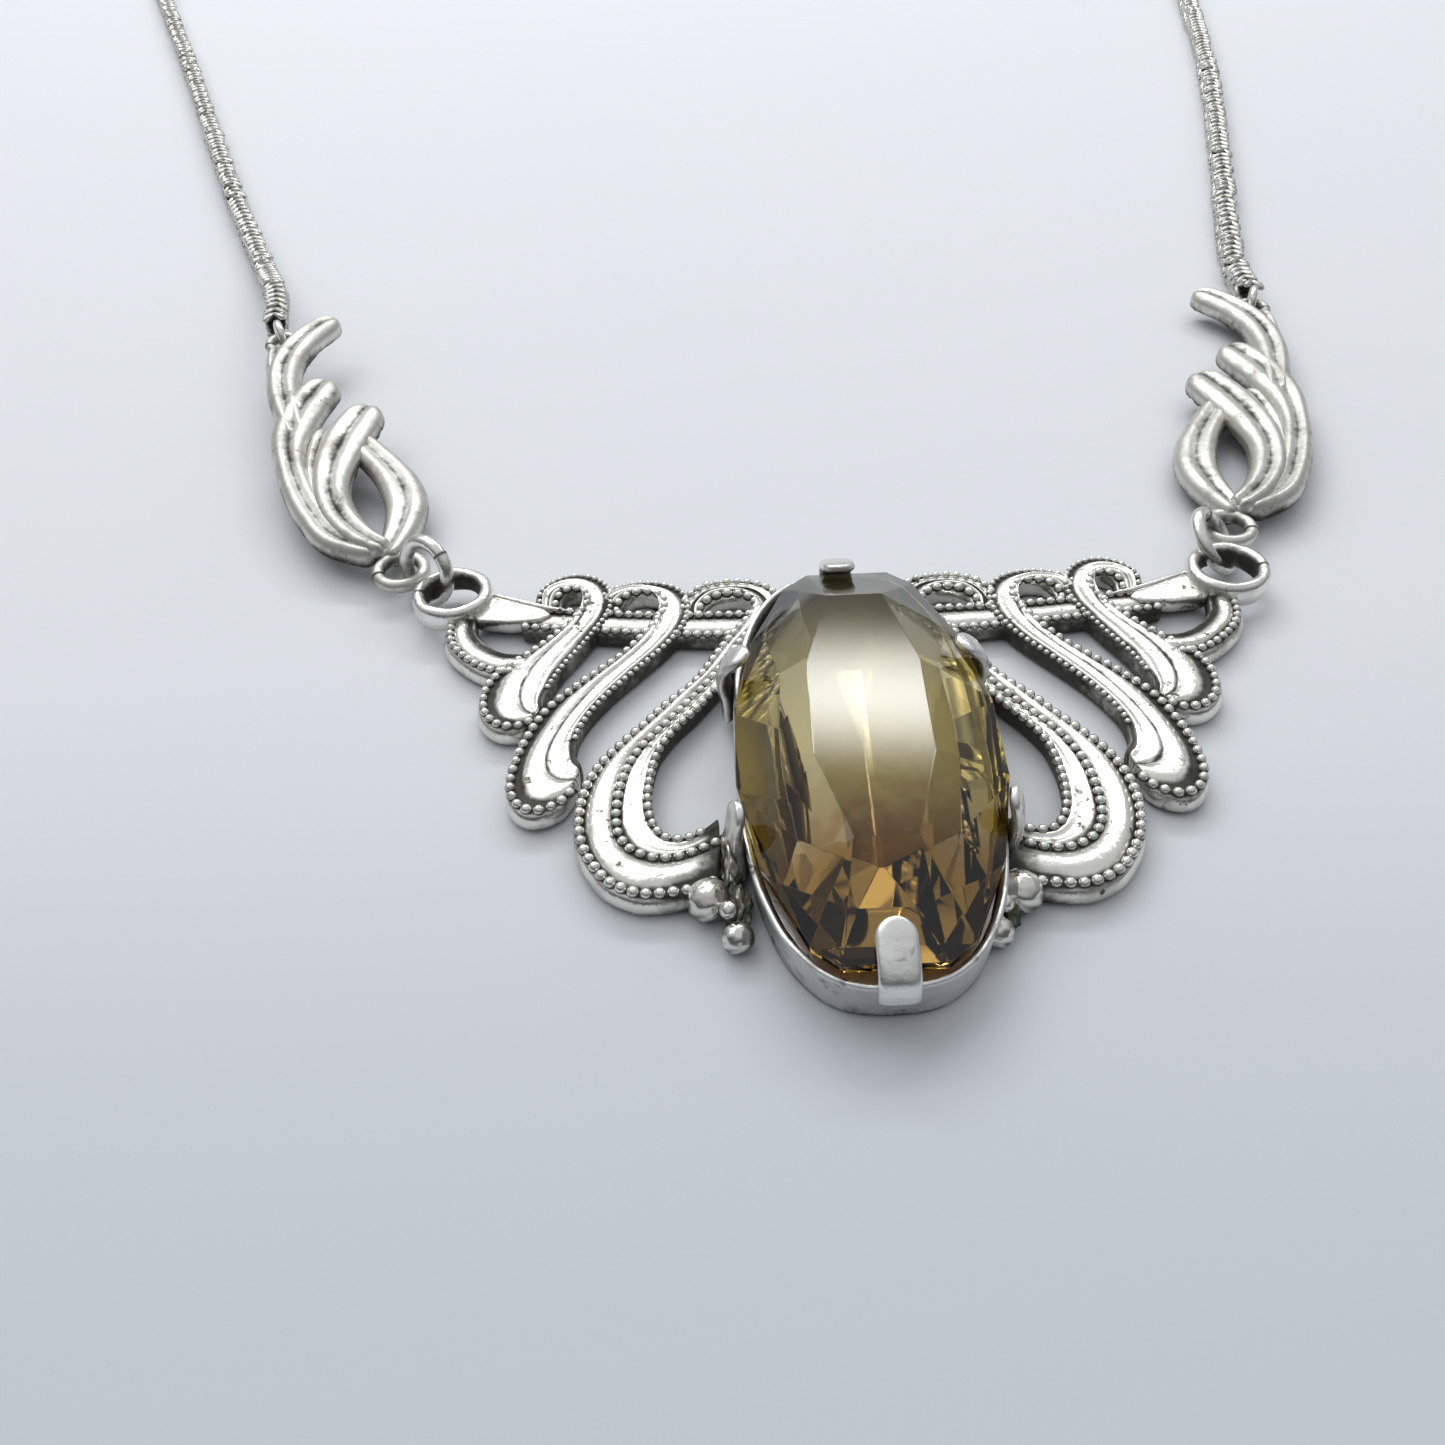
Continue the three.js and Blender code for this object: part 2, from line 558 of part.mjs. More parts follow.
function claspBody() {
  const from = CLASP_MOUTH / 2;
  const to = Math.PI * 2 - CLASP_MOUTH / 2;
  const outside = arcTube(CLASP_RADIUS, CLASP_TUBE, from, to, 24);
  const bore = arcTube(CLASP_RADIUS, CLASP_BORE, from - 0.1, to + 0.1, 24);
  const reach = CLASP_TUBE * 2;
  const slotShape = new THREE.Shape();
  const slotEnd = thumbAngle + BOLT_TRAVEL + 0.16;
  slotShape.absarc(0, 0, CLASP_RADIUS + reach, 0, slotEnd, false);
  slotShape.absarc(0, 0, CLASP_RADIUS, slotEnd, 0, true);
  const slotCut = new THREE.ExtrudeGeometry(slotShape, { depth: 0.5, bevelEnabled: false, curveSegments: 7 });
  return cutBy(outside, [bore, solidOf(slotCut.translate(0, 0, -0.25))]);
}

function claspBolt() {
  const rod = arcTube(CLASP_RADIUS, BOLT_RADIUS, boltStart, boltEnd, 12);
  const stem = new THREE.CylinderGeometry(0.17, 0.17, CLASP_TUBE + 0.35, 10);
  const reach = CLASP_RADIUS + (CLASP_TUBE + 0.35) / 2;
  stem.rotateZ(Math.PI / 2).translate(reach, 0, 0).rotateZ(thumbAngle);
  const knob = new THREE.SphereGeometry(0.36, 10, 8);
  knob.translate(CLASP_RADIUS + CLASP_TUBE + 0.45, 0, 0).rotateZ(thumbAngle);
  return joined([rod, solidOf(stem), solidOf(knob)]);
}

function claspSpring() {
  const from = boltEnd + BOLT_TRAVEL + 0.05;
  const to = from + THREE.MathUtils.degToRad(95);
  const helix = Array.from({ length: SPRING_TURNS * 10 + 1 }, (_, i) => {
    const along = from + ((to - from) * i) / (SPRING_TURNS * 10);
    const spin = (i / 10) * Math.PI * 2;
    const radius = CLASP_RADIUS + SPRING_RADIUS * Math.cos(spin);
    return new THREE.Vector3(radius * Math.cos(along), radius * Math.sin(along), SPRING_RADIUS * Math.sin(spin));
  });
  const section = new THREE.Shape();
  section.absarc(0, 0, SPRING_WIRE, 0, Math.PI * 2);
  const path = new THREE.CatmullRomCurve3(helix);
  const steps = SPRING_TURNS * 10;
  return new THREE.ExtrudeGeometry(section, { steps, curveSegments: 3, extrudePath: path });
}

function claspEye() {
  const reach = CLASP_RADIUS + CLASP_TUBE + CLASP_EYE_RADIUS + CLASP_EYE_WIRE + SOLDER_GAP;
  return wireRing(CLASP_EYE_RADIUS, CLASP_EYE_WIRE, 18).translate(-reach, 0, 0);
}

// ---- assembly ----

const layout = new THREE.Group();

const collarFilled = (low, high) => solidOf(tapered(plate(collarOutline(COLLAR_WALL + SOLDER_GAP), low, high)));
const collarBlock = inLayout(collarFilled(-1, COLLAR_HEIGHT + 1));
const notches = Object.values(PRONGS).map((place) => inLayout(besideStone(place, prongNotch)));
const settingRoom = joined([collarBlock, ...notches]);
const rightWing = wingSolid([settingRoom]);
const leftWing = mirrored(wingSolid([mirrored(settingRoom)]));
layout.add(part("scroll_wing_right", rightWing, silver(0xbcbab0, 0.32)));
layout.add(part("scroll_wing_left", leftWing, silver(0xc0beb4, 0.3)));

const grownStone = stoneSolid(SOLDER_GAP);
const collar = cutBy(collarSolid(), [grownStone]);
const ledge = cutBy(ledgeSolid(), [grownStone]);
const grownCollar = collarFilled(-1, COLLAR_HEIGHT + SOLDER_GAP);
layout.add(part("setting_collar", inLayout(collar), silver(0xb5b3a9, 0.42)));
layout.add(part("bearing_ledge", inLayout(ledge), silver(0x8e8c80, 0.5)));
layout.add(part("stone", inLayout(stoneSolid(0)), glass(0x8a6a24)));
for (const [name, place] of Object.entries(PRONGS)) {
  const tab = cutBy(besideStone(place, prongSolid), [grownStone, grownCollar]);
  layout.add(part(name, inLayout(tab), silver(0xc6c4ba, 0.28)));
}

for (const [size, ball] of Object.entries(GRANULES)) {
  const grain = granuleSolid(ball, 0);
  const left = mirrored(cutBy(grain, [mirrored(collarBlock)]));
  layout.add(part(`granule_right_${size}`, cutBy(grain, [collarBlock]), silver(0xa8a698, 0.36)));
  layout.add(part(`granule_left_${size}`, left, silver(0xa8a698, 0.36)));
}

for (const side of ["right", "left"]) {
  const half = new THREE.Group();
  half.scale.x = side === "left" ? -1 : 1;
  half.add(part(`eyelet_${side}`, eyeletSolid(0), silver(0xb2b0a5, 0.35)));
  half.add(placedJumpRing(side));
  half.add(placedLink(side));
  layout.add(half);
  layout.add(part(`chain_${side}`, chainTube(side), silver(0x9c9b92, 0.4)));
  layout.add(part(`chain_coil_${side}`, coilRing(side, 0), silver(0x9c9b92, 0.4)));
}

const clasp = new THREE.Group();
clasp.add(part("clasp_body", claspBody(), silver(0xc2c1b9, 0.2)));
clasp.add(part("clasp_bolt", claspBolt(), silver(0xcfcdc4, 0.2)));
clasp.add(part("clasp_spring", claspSpring(), silver(0x8c8c88, 0.3)));
clasp.add(part("clasp_eye", claspEye(), silver(0xc2c1b9, 0.25)));
clasp.position.copy(coilCentre("left")).setZ(CLASP_TUBE + 0.12);
clasp.rotation.z = fittingAngle("left") - Math.PI;
layout.add(clasp);

const endRing = part("end_ring", wireRing(END_RING_RADIUS, END_RING_WIRE, 24), silver(0xc2c1b9, 0.25));
const ringReach = coilInside("right") - FACE_GAP - END_RING_RADIUS - END_RING_WIRE;
const toRing = new THREE.Vector3(
  ringReach * Math.cos(fittingAngle("right")),
  ringReach * Math.sin(fittingAngle("right")),
  0,
);
endRing.position.copy(coilCentre("right")).add(toRing).setZ(END_RING_WIRE + CHAIN_LIFT);
layout.add(endRing);

// The part's zero is under the middle of the centrepiece and its links, on the surface.
layout.updateMatrixWorld(true);
const onCord = /^(chain_(left|right)|chain_coil|clasp|end_ring)/;
const reach = new THREE.Box3();
layout.traverse((piece) => {
  if (piece.isMesh && !onCord.test(piece.name)) reach.expandByObject(piece, true);
});
const middle = reach.getCenter(new THREE.Vector3());
layout.position.set(-middle.x, -middle.y, 0);

const necklace = new THREE.Group();
necklace.add(layout);
export default necklace;
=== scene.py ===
# %% [markdown]
# A pendant necklace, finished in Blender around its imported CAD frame.
# The frame gives every piece its size and place, and this file gives each one its worked surface:
# milgrain beads, cast scrolls, a cut glass stone and two woven chains.

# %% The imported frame
import math
from bisect import bisect_right

import bmesh
import bpy
from mathutils import Matrix, Vector, noise


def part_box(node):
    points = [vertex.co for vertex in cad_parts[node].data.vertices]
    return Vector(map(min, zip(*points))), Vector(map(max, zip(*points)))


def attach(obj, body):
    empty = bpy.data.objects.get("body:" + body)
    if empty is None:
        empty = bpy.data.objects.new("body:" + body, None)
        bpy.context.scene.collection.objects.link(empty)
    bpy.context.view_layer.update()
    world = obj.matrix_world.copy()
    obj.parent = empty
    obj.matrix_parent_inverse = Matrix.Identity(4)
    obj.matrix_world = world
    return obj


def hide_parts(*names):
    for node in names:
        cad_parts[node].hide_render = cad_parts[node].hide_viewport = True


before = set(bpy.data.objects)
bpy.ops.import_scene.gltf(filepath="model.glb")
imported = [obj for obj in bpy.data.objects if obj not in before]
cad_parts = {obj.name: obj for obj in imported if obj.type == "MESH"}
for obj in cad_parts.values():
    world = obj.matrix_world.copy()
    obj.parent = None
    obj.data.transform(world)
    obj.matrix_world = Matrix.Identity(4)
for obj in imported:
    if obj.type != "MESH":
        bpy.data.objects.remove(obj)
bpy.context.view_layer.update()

# %% [markdown]
# Jewellery is drawn in millimetres, so each piece is made in a drawing whose zero lies midway
# between the two eyelets, on the table. A finished drawing is scaled and moved once, in its mesh,
# and its object stays at the origin: patterns then sit still when the piece moves.

# %% The drawing's zero
MM = 0.001


def middle(node):
    low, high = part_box(node)
    return (low + high) / 2


between = (middle("eyelet_left") + middle("eyelet_right")) / 2
zero = Vector((between.x, between.y, 0.0))
to_frame = Matrix.Translation(zero) @ Matrix.Scale(MM, 4)


def at(x, y, z=0.0):
    return to_frame @ Vector((x, y, z))


QUARTER_TURN = math.pi / 2


def turned(angle, axis):
    return Matrix.Rotation(angle, 4, axis)


def moved(x, y, z):
    return Matrix.Translation((x, y, z))


print("drawing zero", [round(v * 1000, 3) for v in zero], "mm")

# %% [markdown]
# The camera looks down at the necklace from the front, close to the surface. A camera can be aimed
# with a Track To constraint or by typing angles. Its three axes are set here directly, because the
# view is also rolled a little, and a matrix says all of that in one place.

# %% Camera
CAMERA_PLACE = (-3.885, -63.482, 48.804)
VIEW_RIGHT = Vector((0.99904, 0.00426, -0.04356))
VIEW_UP = Vector((0.02948, 0.66990, 0.74186))
LENS = 36.1

camera = bpy.data.objects.new("camera", bpy.data.cameras.new("camera"))
bpy.context.scene.collection.objects.link(camera)
bpy.context.scene.camera = camera
camera.data.lens = LENS
camera.data.sensor_width = 36.0
camera.data.clip_start = 0.001
view_back = VIEW_RIGHT.cross(VIEW_UP).normalized()
view_up = view_back.cross(VIEW_RIGHT).normalized()
axes = Matrix((VIEW_RIGHT.normalized(), view_up, view_back)).transposed()
camera.matrix_world = Matrix.Translation(at(*CAMERA_PLACE)) @ axes.to_4x4()
print("camera at", [round(v * 1000, 1) for v in camera.location], "mm")

# %% [markdown]
# Wires, scrolls and chains all follow a drawn line. Blender has Curve objects for that, but a
# profile that changes on its way is easier as a function: a line takes a share of its length, from
# 0 to 1, and gives the point there. The points are joined by a smooth Catmull-Rom curve.

# %% Lines
STEPS_PER_SPAN = 12


def smooth_point(a, b, c, d, t):
    square = 2 * a - 5 * b + 4 * c - d
    cube = 3 * b - a - 3 * c + d
    return 0.5 * (2 * b + (c - a) * t + square * t ** 2 + cube * t ** 3)


def smooth_points(points):
    drawn = [Vector(p) for p in points]
    drawn = [2 * drawn[0] - drawn[1], *drawn, 2 * drawn[-1] - drawn[-2]]
    fine = [
        smooth_point(*drawn[i:i + 4], k / STEPS_PER_SPAN)
        for i in range(len(drawn) - 3)
        for k in range(STEPS_PER_SPAN)
    ]
    return [*fine, drawn[-2]]


class Line:
    """A line through points, asked for by the share of its length."""

    def __init__(self, points, smooth=True):
        self.points = smooth_points(points) if smooth else [Vector(p) for p in points]
        self.reached = [0.0]
        for a, b in zip(self.points, self.points[1:]):
            self.reached.append(self.reached[-1] + (b - a).length)
        self.length = self.reached[-1]

    def __call__(self, share):
        wanted = min(max(share, 0.0), 1.0) * self.length
        i = min(max(bisect_right(self.reached, wanted) - 1, 0), len(self.points) - 2)
        span = self.reached[i + 1] - self.reached[i]
        return self.points[i].lerp(self.points[i + 1], (wanted - self.reached[i]) / max(span, 1e-9))

    def heading(self, share, reach=0.004):
        return (self(share + reach) - self(share - reach)).normalized()


print("a line of", round(Line([(0, 0, 0), (1, 1, 0), (2, 0, 0)]).length, 2), "mm")

# %% [markdown]
# Most pieces here are a strip bent into shape: a grid of faces, whose one direction runs along a
# line and whose other direction goes round a section. One grid operator makes all the faces, each
# corner is then moved to its place, and merging the doubles closes the seam. Every corner also
# keeps a number for patina and painted shade, from 0 on a polished ridge to 1 in a hollow, for the
# finish to read.

# %% Bending a grid
# The name of each corner's number for patina in hollows and painted shade under and between parts.
PATINA_AND_SHADE = "patina_and_shade"


def bend_grid(bm, along, around, place, closed_ends=True):
    dark = bm.verts.layers.float.get(PATINA_AND_SHADE) or bm.verts.layers.float.new(PATINA_AND_SHADE)
    made = bmesh.ops.create_grid(bm, x_segments=along, y_segments=around, size=1)["verts"]
    for corner in made:
        share = (corner.co.x + 1) / 2
        section = (corner.co.y + 1) / 2
        corner.co, corner[dark] = place(share, section)
    bmesh.ops.remove_doubles(bm, verts=made, dist=1e-4)
    if closed_ends:
        rims = [edge for edge in bm.edges if edge.is_boundary]
        bmesh.ops.holes_fill(bm, edges=rims, sides=0)


def outwards(bm):
    bmesh.ops.recalc_face_normals(bm, faces=bm.faces)


def mirrored(bm):
    bmesh.ops.scale(bm, vec=(-1, 1, 1), verts=bm.verts)
    bmesh.ops.reverse_faces(bm, faces=bm.faces)


finishes = {}  # filled as each finish is made


def piece(name, bm, finish, body, slot=None, replaces=(), sharp=0, levels=0, local=None, mirror=False):
    """Takes a drawing in millimetres into the frame, as a finished piece."""
    if local:
        bm.transform(local)
    if mirror:
        mirrored(bm)
    bm.transform(to_frame)
    mesh = bpy.data.meshes.new(name)
    bm.to_mesh(mesh)
    bm.free()
    mesh.shade_smooth()
    if sharp:
        mesh.set_sharp_from_angle(angle=math.radians(sharp))
    obj = bpy.data.objects.new(name, mesh)
    bpy.context.scene.collection.objects.link(obj)
    obj.data.materials.append(finishes[finish])
    if levels:
        finer = obj.modifiers.new("finer", "SUBSURF")
        finer.levels = levels
        finer.render_levels = levels
    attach(obj, body)
    if replaces:
        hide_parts(*replaces)
    print(f"{name}: {len(mesh.polygons)} faces")
    return obj


# %% [markdown]
# A shader is a sum of small steps, such as "noise times tarnish". Wiring every Math node by hand
# hides that sum, so one small class wraps a socket and lets the step be written as it is said.

# %% Shader sums
class Term:
    """A socket of a node tree, with arithmetic."""

    def __init__(self, tree, socket):
        self.tree = tree
        self.socket = socket

    def math(self, operation, a, b=None, clamp=False):
        node = self.tree.nodes.new("ShaderNodeMath")
        node.operation = operation
        node.use_clamp = clamp
        for slot, value in zip(node.inputs, (a, b)):
            if isinstance(value, Term):
                self.tree.links.new(value.socket, slot)
            elif value is not None:
                slot.default_value = value
        return Term(self.tree, node.outputs[0])

    def __add__(self, other):
        return self.math("ADD", self, other)

    def __radd__(self, other):
        return self.math("ADD", other, self)

    def __sub__(self, other):
        return self.math("SUBTRACT", self, other)

    def __rsub__(self, other):
        return self.math("SUBTRACT", other, self)

    def __mul__(self, other):
        return self.math("MULTIPLY", self, other)

    def __rmul__(self, other):
        return self.math("MULTIPLY", other, self)

    def __pow__(self, other):
        return self.math("POWER", self, other)

    def within(self):
        return self.math("ADD", self, 0.0, clamp=True)


class Finish:
    """A material under way: its tree, its shader and the few nodes that finishes are made of."""

    def __init__(self, name):
        self.material = bpy.data.materials.new(name)
        self.material.use_nodes = True
        self.tree = self.material.node_tree
        self.shader = self.tree.nodes["Principled BSDF"]
        self.place = self.node("ShaderNodeTexCoord")["Object"]

    def node(self, kind, settings=None, **values):
        node = self.tree.nodes.new(kind)
        for key, value in (settings or {}).items():
            setattr(node, key, value)
        for key, value in values.items():
            slot = node.inputs[key.replace("_", " ")]
            if isinstance(value, Term):
                self.tree.links.new(value.socket, slot)
            else:
                slot.default_value = value
        return {out.name: Term(self.tree, out) for out in node.outputs}

    def noise(self, scale, detail):
        made = self.node(
            "ShaderNodeTexNoise", Vector=self.place, Scale=scale, Detail=detail, Roughness=0.55
        )
        return made["Fac"]

    def step(self, value, low, high):
        made = self.node(
            "ShaderNodeMapRange",
            {"interpolation_type": "SMOOTHSTEP"},
            Value=value, From_Min=low, From_Max=high,
        )
        return made["Result"]

    def attribute(self, name):
        return self.node("ShaderNodeAttribute", {"attribute_name": name})["Fac"]

    def blend(self, factor, a, b):
        mix = self.tree.nodes.new("ShaderNodeMix")
        mix.data_type = "RGBA"
        for slot, value in ((mix.inputs[0], factor), (mix.inputs[6], a), (mix.inputs[7], b)):
            if isinstance(value, Term):
                self.tree.links.new(value.socket, slot)
            elif isinstance(value, float):
                slot.default_value = value
            else:
                slot.default_value = (*value, 1.0)
        return Term(self.tree, mix.outputs[2])

    def set(self, **values):
        for key, value in values.items():
            slot = self.shader.inputs[key.replace("_", " ")]
            if isinstance(value, Term):
                self.tree.links.new(value.socket, slot)
            elif isinstance(value, tuple):
                slot.default_value = (*value, 1.0)
            else:
                slot.default_value = value

    def bump(self, height, strength, distance):
        made = self.node("ShaderNodeBump", Height=height, Strength=strength, Distance=distance)
        self.set(Normal=made["Normal"])


print("shader helpers ready")

# %% [markdown]
# Old silver is bright where fingers and cloth reach it, and near black, a little olive, where they
# don't. Its hollows and undersides are also painted darker for shade. An Ambient Occlusion node
# could give that shade, but it is slow and blotchy on work this fine. The patina-and-shade number
# of each corner says where the hollows are, noise breaks its edge up, and small dark specks stand
# for casting pits. The same recipe serves every silver piece, with its own brightness, polish and wear.

# %% Silver
# Near black for patina and painted shade in hollows and undersides.
HOLLOW_DIRT_AND_SHADE = (0.030, 0.028, 0.020)
PIT_DIRT = (0.05, 0.045, 0.032)
FILM_TINT = (0.50, 0.49, 0.45)
# each finish's brightness, polish (as roughness), wear and pits
SILVERS = {
    "scroll silver": ((0.80, 0.785, 0.73), 0.22, 0.55, 0.9),
    "bead silver": ((0.84, 0.83, 0.78), 0.24, 0.3, 0.4),
    "collar silver": ((0.68, 0.675, 0.66), 0.36, 0.6, 0.8),
    "prong silver": ((0.82, 0.815, 0.79), 0.30, 0.35, 0.5),
    "link silver": ((0.67, 0.66, 0.61), 0.40, 0.45, 0.4),
    "ring silver": ((0.82, 0.81, 0.77), 0.24, 0.3, 0.3),
    "chain silver": ((0.66, 0.65, 0.61), 0.3, 0.4, 0.5),
    "clasp silver": ((0.82, 0.81, 0.78), 0.12, 0.15, 0.1),
    "spring wire": ((0.52, 0.52, 0.52), 0.25, 0.2, 0.0),
    "bearing silver": ((0.62, 0.62, 0.62), 0.45, 0.5, 0.6),
}


def silver(name, bright, polish, worn, pits):
    finish = Finish(name)
    cloudy = finish.noise(420.0, 5.0)
    dented = finish.noise(1150.0, 3.0)
    fine = finish.noise(2600.0, 3.0)
    depth = finish.attribute(PATINA_AND_SHADE)
    shade = finish.step(depth + (cloudy - 0.5) * 0.8 + (fine - 0.5) * 0.5, 0.18, 0.80)
    film = finish.step(cloudy * 0.6 + dented * 0.4, 0.44, 0.66) * worn
    specks = finish.step(finish.noise(1900.0, 2.0), 0.62, 0.70) * finish.step(cloudy, 0.46, 0.60) * pits
    duller = tuple(channel * tint for channel, tint in zip(bright, FILM_TINT))
    surface = finish.blend(film, bright, duller)
    # Hollows and undersides darken here: patina, and painted shade.
    surface = finish.blend((shade * 0.94).within(), surface, HOLLOW_DIRT_AND_SHADE)
    surface = finish.blend(specks, surface, PIT_DIRT)
    finish.set(
        Base_Color=surface,
        Metallic=1.0 - shade * 0.35,
        Roughness=(polish + film * 0.3 + shade * 0.4 + (dented - 0.5) * 0.25).within(),
    )
    finish.bump(cloudy * 0.8 + dented * 0.6 + fine * 0.4 - specks * 0.8, 0.5, 0.00011)
    print("finish", name)
    return finish.material


for name, numbers in SILVERS.items():
    finishes[name] = silver(name, *numbers)

# %% [markdown]
# Beside the collar the silver has also grown a crust of green verdigris. Its hollows and undersides
# turn olive, as dirt and painted shade. It is a second layer over the same metal, and the crust shows
# where the patina-and-shade number, with some noise added, passes 1. Only the little balls and the
# solder beside the collar have this finish.

# %% Silver with verdigris
def verdigris_silver(name, bright):
    finish = Finish(name)
    cloudy = finish.noise(700.0, 5.0)
    fine = finish.noise(2600.0, 3.0)
    depth = finish.attribute(PATINA_AND_SHADE)
    shade = finish.step(depth + (cloudy - 0.5) * 0.9, 0.35, 0.9)
    crust = finish.step(depth + (cloudy - 0.5) * 1.2 + (fine - 0.5) * 0.6, 0.95, 1.15)
    # Hollows and undersides darken to olive: dirt, and painted shade.
    surface = finish.blend((shade * 0.92).within(), bright, (0.06, 0.052, 0.022))
    surface = finish.blend(crust, surface, (0.035, 0.105, 0.075))
    finish.set(
        Base_Color=surface,
        Metallic=(1.0 - shade * 0.4 - crust * 0.6).within(),
        Roughness=(0.2 + shade * 0.35 + crust * 0.4).within(),
    )
    finish.bump(cloudy + fine * 0.5, 0.5, 0.00008)
    print("finish", name)
    return finish.material


finishes["aged silver"] = verdigris_silver("aged silver", (0.74, 0.73, 0.68))

# %% [markdown]
# Each chain is made at its real length, and the part that the camera doesn't see is wound up
# just outside the view. Both chains run from their side link to a small flat spiral, and the
# clasp or the end ring waits inside it. The runs are listed, and a loop makes the spirals.

# %% Chain routes
COIL_PITCH = 1.8
LIES_AT = 0.87
END_LEAD = math.radians(22)
LEAD_GAP = 0.25
RUNS = {
    # A point with no height lies on the table.
    "right": [
        (30.75, 34.2, 1.3), (30.9, 36.0, 1.1), (31.2, 38.6, 0.89), (32.0, 43.0), (33.1, 48.5),
        (34.3, 54.0), (35.5, 60.0), (36.7, 66.0), (37.9, 72.0), (39.0, 78.0), (40.0, 84.0),
        (40.9, 90.0), (41.7, 96.0), (42.5, 102.0), (43.2, 107.0), (43.9, 112.0), (44.8, 119.4),
    ],
    "left": [
        (-38.4, 34.4, 3.0), (-39.2, 36.4, 2.75), (-40.1, 38.7, 2.3), (-41.3, 41.8, 1.65),
        (-43.2, 46.4, 1.05), (-45.7, 52.4), (-48.5, 59.2), (-51.4, 66.5), (-54.4, 74.2),
        (-57.5, 82.2), (-60.6, 90.2), (-63.8, 98.2), (-67.0, 106.2), (-70.2, 114.2), (-73.3, 122.0),
        (-77.2, 132.5),
    ],
}
CHAIN_STARTS = {"right": (30.85, 32.55, 1.3), "left": (-37.35, 29.6, 3.15)}
# turns, the way round, and the radius of the outermost turn
COILS = {"right": (1.45, 1, 9.7), "left": (1.1, -1, 9.5)}
FITTINGS = {"right": ("end_ring", 1.6), "left": ("clasp_eye", 0.85)}
POINTS_PER_TURN = 24


def laid(side):
    return [Vector(point if len(point) == 3 else (*point, LIES_AT)) for point in RUNS[side]]


def coil_centre(side):
    before, last = laid(side)[-2:]
    heading = (last - before).normalized()
    _, curl, outer = COILS[side]
    return last + Vector((-heading.y, heading.x, 0)) * curl * outer


def chain_route(side):
    turns, curl, outer = COILS[side]
    centre = coil_centre(side)
    spoke = laid(side)[-1] - centre
    start = math.atan2(spoke.y, spoke.x)
    coil = []
    for k in range(1, round(turns * POINTS_PER_TURN) + 1):
        wound = min(k / POINTS_PER_TURN, turns)
        angle = start + curl * wound * math.tau
        radius = outer - COIL_PITCH * wound
        coil.append(centre + Vector((radius * math.cos(angle), radius * math.sin(angle), 0)))
    node, ring_radius = FITTINGS[side]
    ring = to_frame.inverted() @ middle(node)
    reach = (ring - centre).to_2d().length + ring_radius
    last_angle = start + curl * turns * math.tau
    last_radius = outer - COIL_PITCH * turns
    lead = []
    for share in (0.5, 1.0):
        angle = last_angle + curl * END_LEAD * share
        radius = last_radius + (reach + LEAD_GAP - last_radius) * share
        lead.append(centre + Vector((radius * math.cos(angle), radius * math.sin(angle), 0)))
    return [CHAIN_STARTS[side], *laid(side), *coil, *lead]


routes = {side: Line(chain_route(side)) for side in ("right", "left")}
for side, route in routes.items():
    print(side, "chain is", round(route.length, 1), "mm long")

# %% [markdown]
# The chain is woven from fine wire: four rows of little slanting loops, two to each chevron, that
# meet like the grains of a wheat ear. It could be hundreds of true interlinked rings, which is a
# heavy mesh. Here one short plait unit is made of eight slanting drops, and stamped along the route,
# so that each piece of wire catches the light in the zig-zag that such a chain shows.

# %% Stamping a small mesh many times
def stamp_of(build):
    bm = bmesh.new()
    build(bm)
    mesh = bpy.data.meshes.new("stamp")
    bm.to_mesh(mesh)
    bm.free()
    return mesh


def stamp(bm, mesh, matrix):
    copy = mesh.copy()
    copy.transform(matrix)
    bm.from_mesh(copy)
    bpy.data.meshes.remove(copy)


# %% Woven chain
PLAIT_PITCH = 0.86
WIRE_LENGTH = 0.66
WIRE_THICK = 0.26
PLAIT_SLANT = math.radians(40)
PLAIT_SIDE = 0.31
PLAIT_OUT = 0.56
PLAIT_LEAN = math.radians(20)
# Where the painted shade inside the weave starts, and over how far it fades.
DARK_WITHIN, DARK_FADE = 0.74, 0.24
TWISTED, SWOLLEN = 0.9, 0.10  # how uneven the weave is


def plait_unit(bm):
    dark = bm.verts.layers.float.new(PATINA_AND_SHADE)
    for quarter in range(4):
        face = turned(quarter * QUARTER_TURN, "Y")
        stagger = PLAIT_PITCH / 2 * (quarter % 2)
        for way in (1, -1):
            drop = (
                face
                @ moved(way * PLAIT_SIDE, stagger, PLAIT_OUT)
                @ turned(way * PLAIT_SLANT, "Z")
                @ turned(way * PLAIT_LEAN, "Y")
                @ Matrix.Diagonal((WIRE_THICK, WIRE_LENGTH, WIRE_THICK, 1))
                @ turned(QUARTER_TURN, "X")
            )
            made = bmesh.ops.create_uvsphere(bm, u_segments=7, v_segments=5, radius=1, matrix=drop)
            # Each drop is painted darker towards the middle of the chain, as shade inside the weave.
            for corner in made["verts"]:
                out = Vector((corner.co.x, 0, corner.co.z)).length
                corner[dark] = min(max((DARK_WITHIN - out) / DARK_FADE, 0.0), 1.0)


def woven_chain(side):
    route = routes[side]
    unit = stamp_of(plait_unit)
    bm = bmesh.new()
    count = round(route.length / PLAIT_PITCH)
    for k in range(count):
        share = (k + 0.5) / count
        ahead = route.heading(share, 0.003)
        across = ahead.cross(Vector((0, 0, 1))).normalized()
        turn = Matrix((across, ahead, across.cross(ahead))).transposed().to_4x4()
        uneven = noise.noise(route(share) * 0.9)
        twist = turned(TWISTED * uneven, "Y") @ Matrix.Scale(1 + SWOLLEN * uneven, 4)
        stamp(bm, unit, Matrix.Translation(route(share)) @ turn @ twist)
    bpy.data.meshes.remove(unit)
    return bm


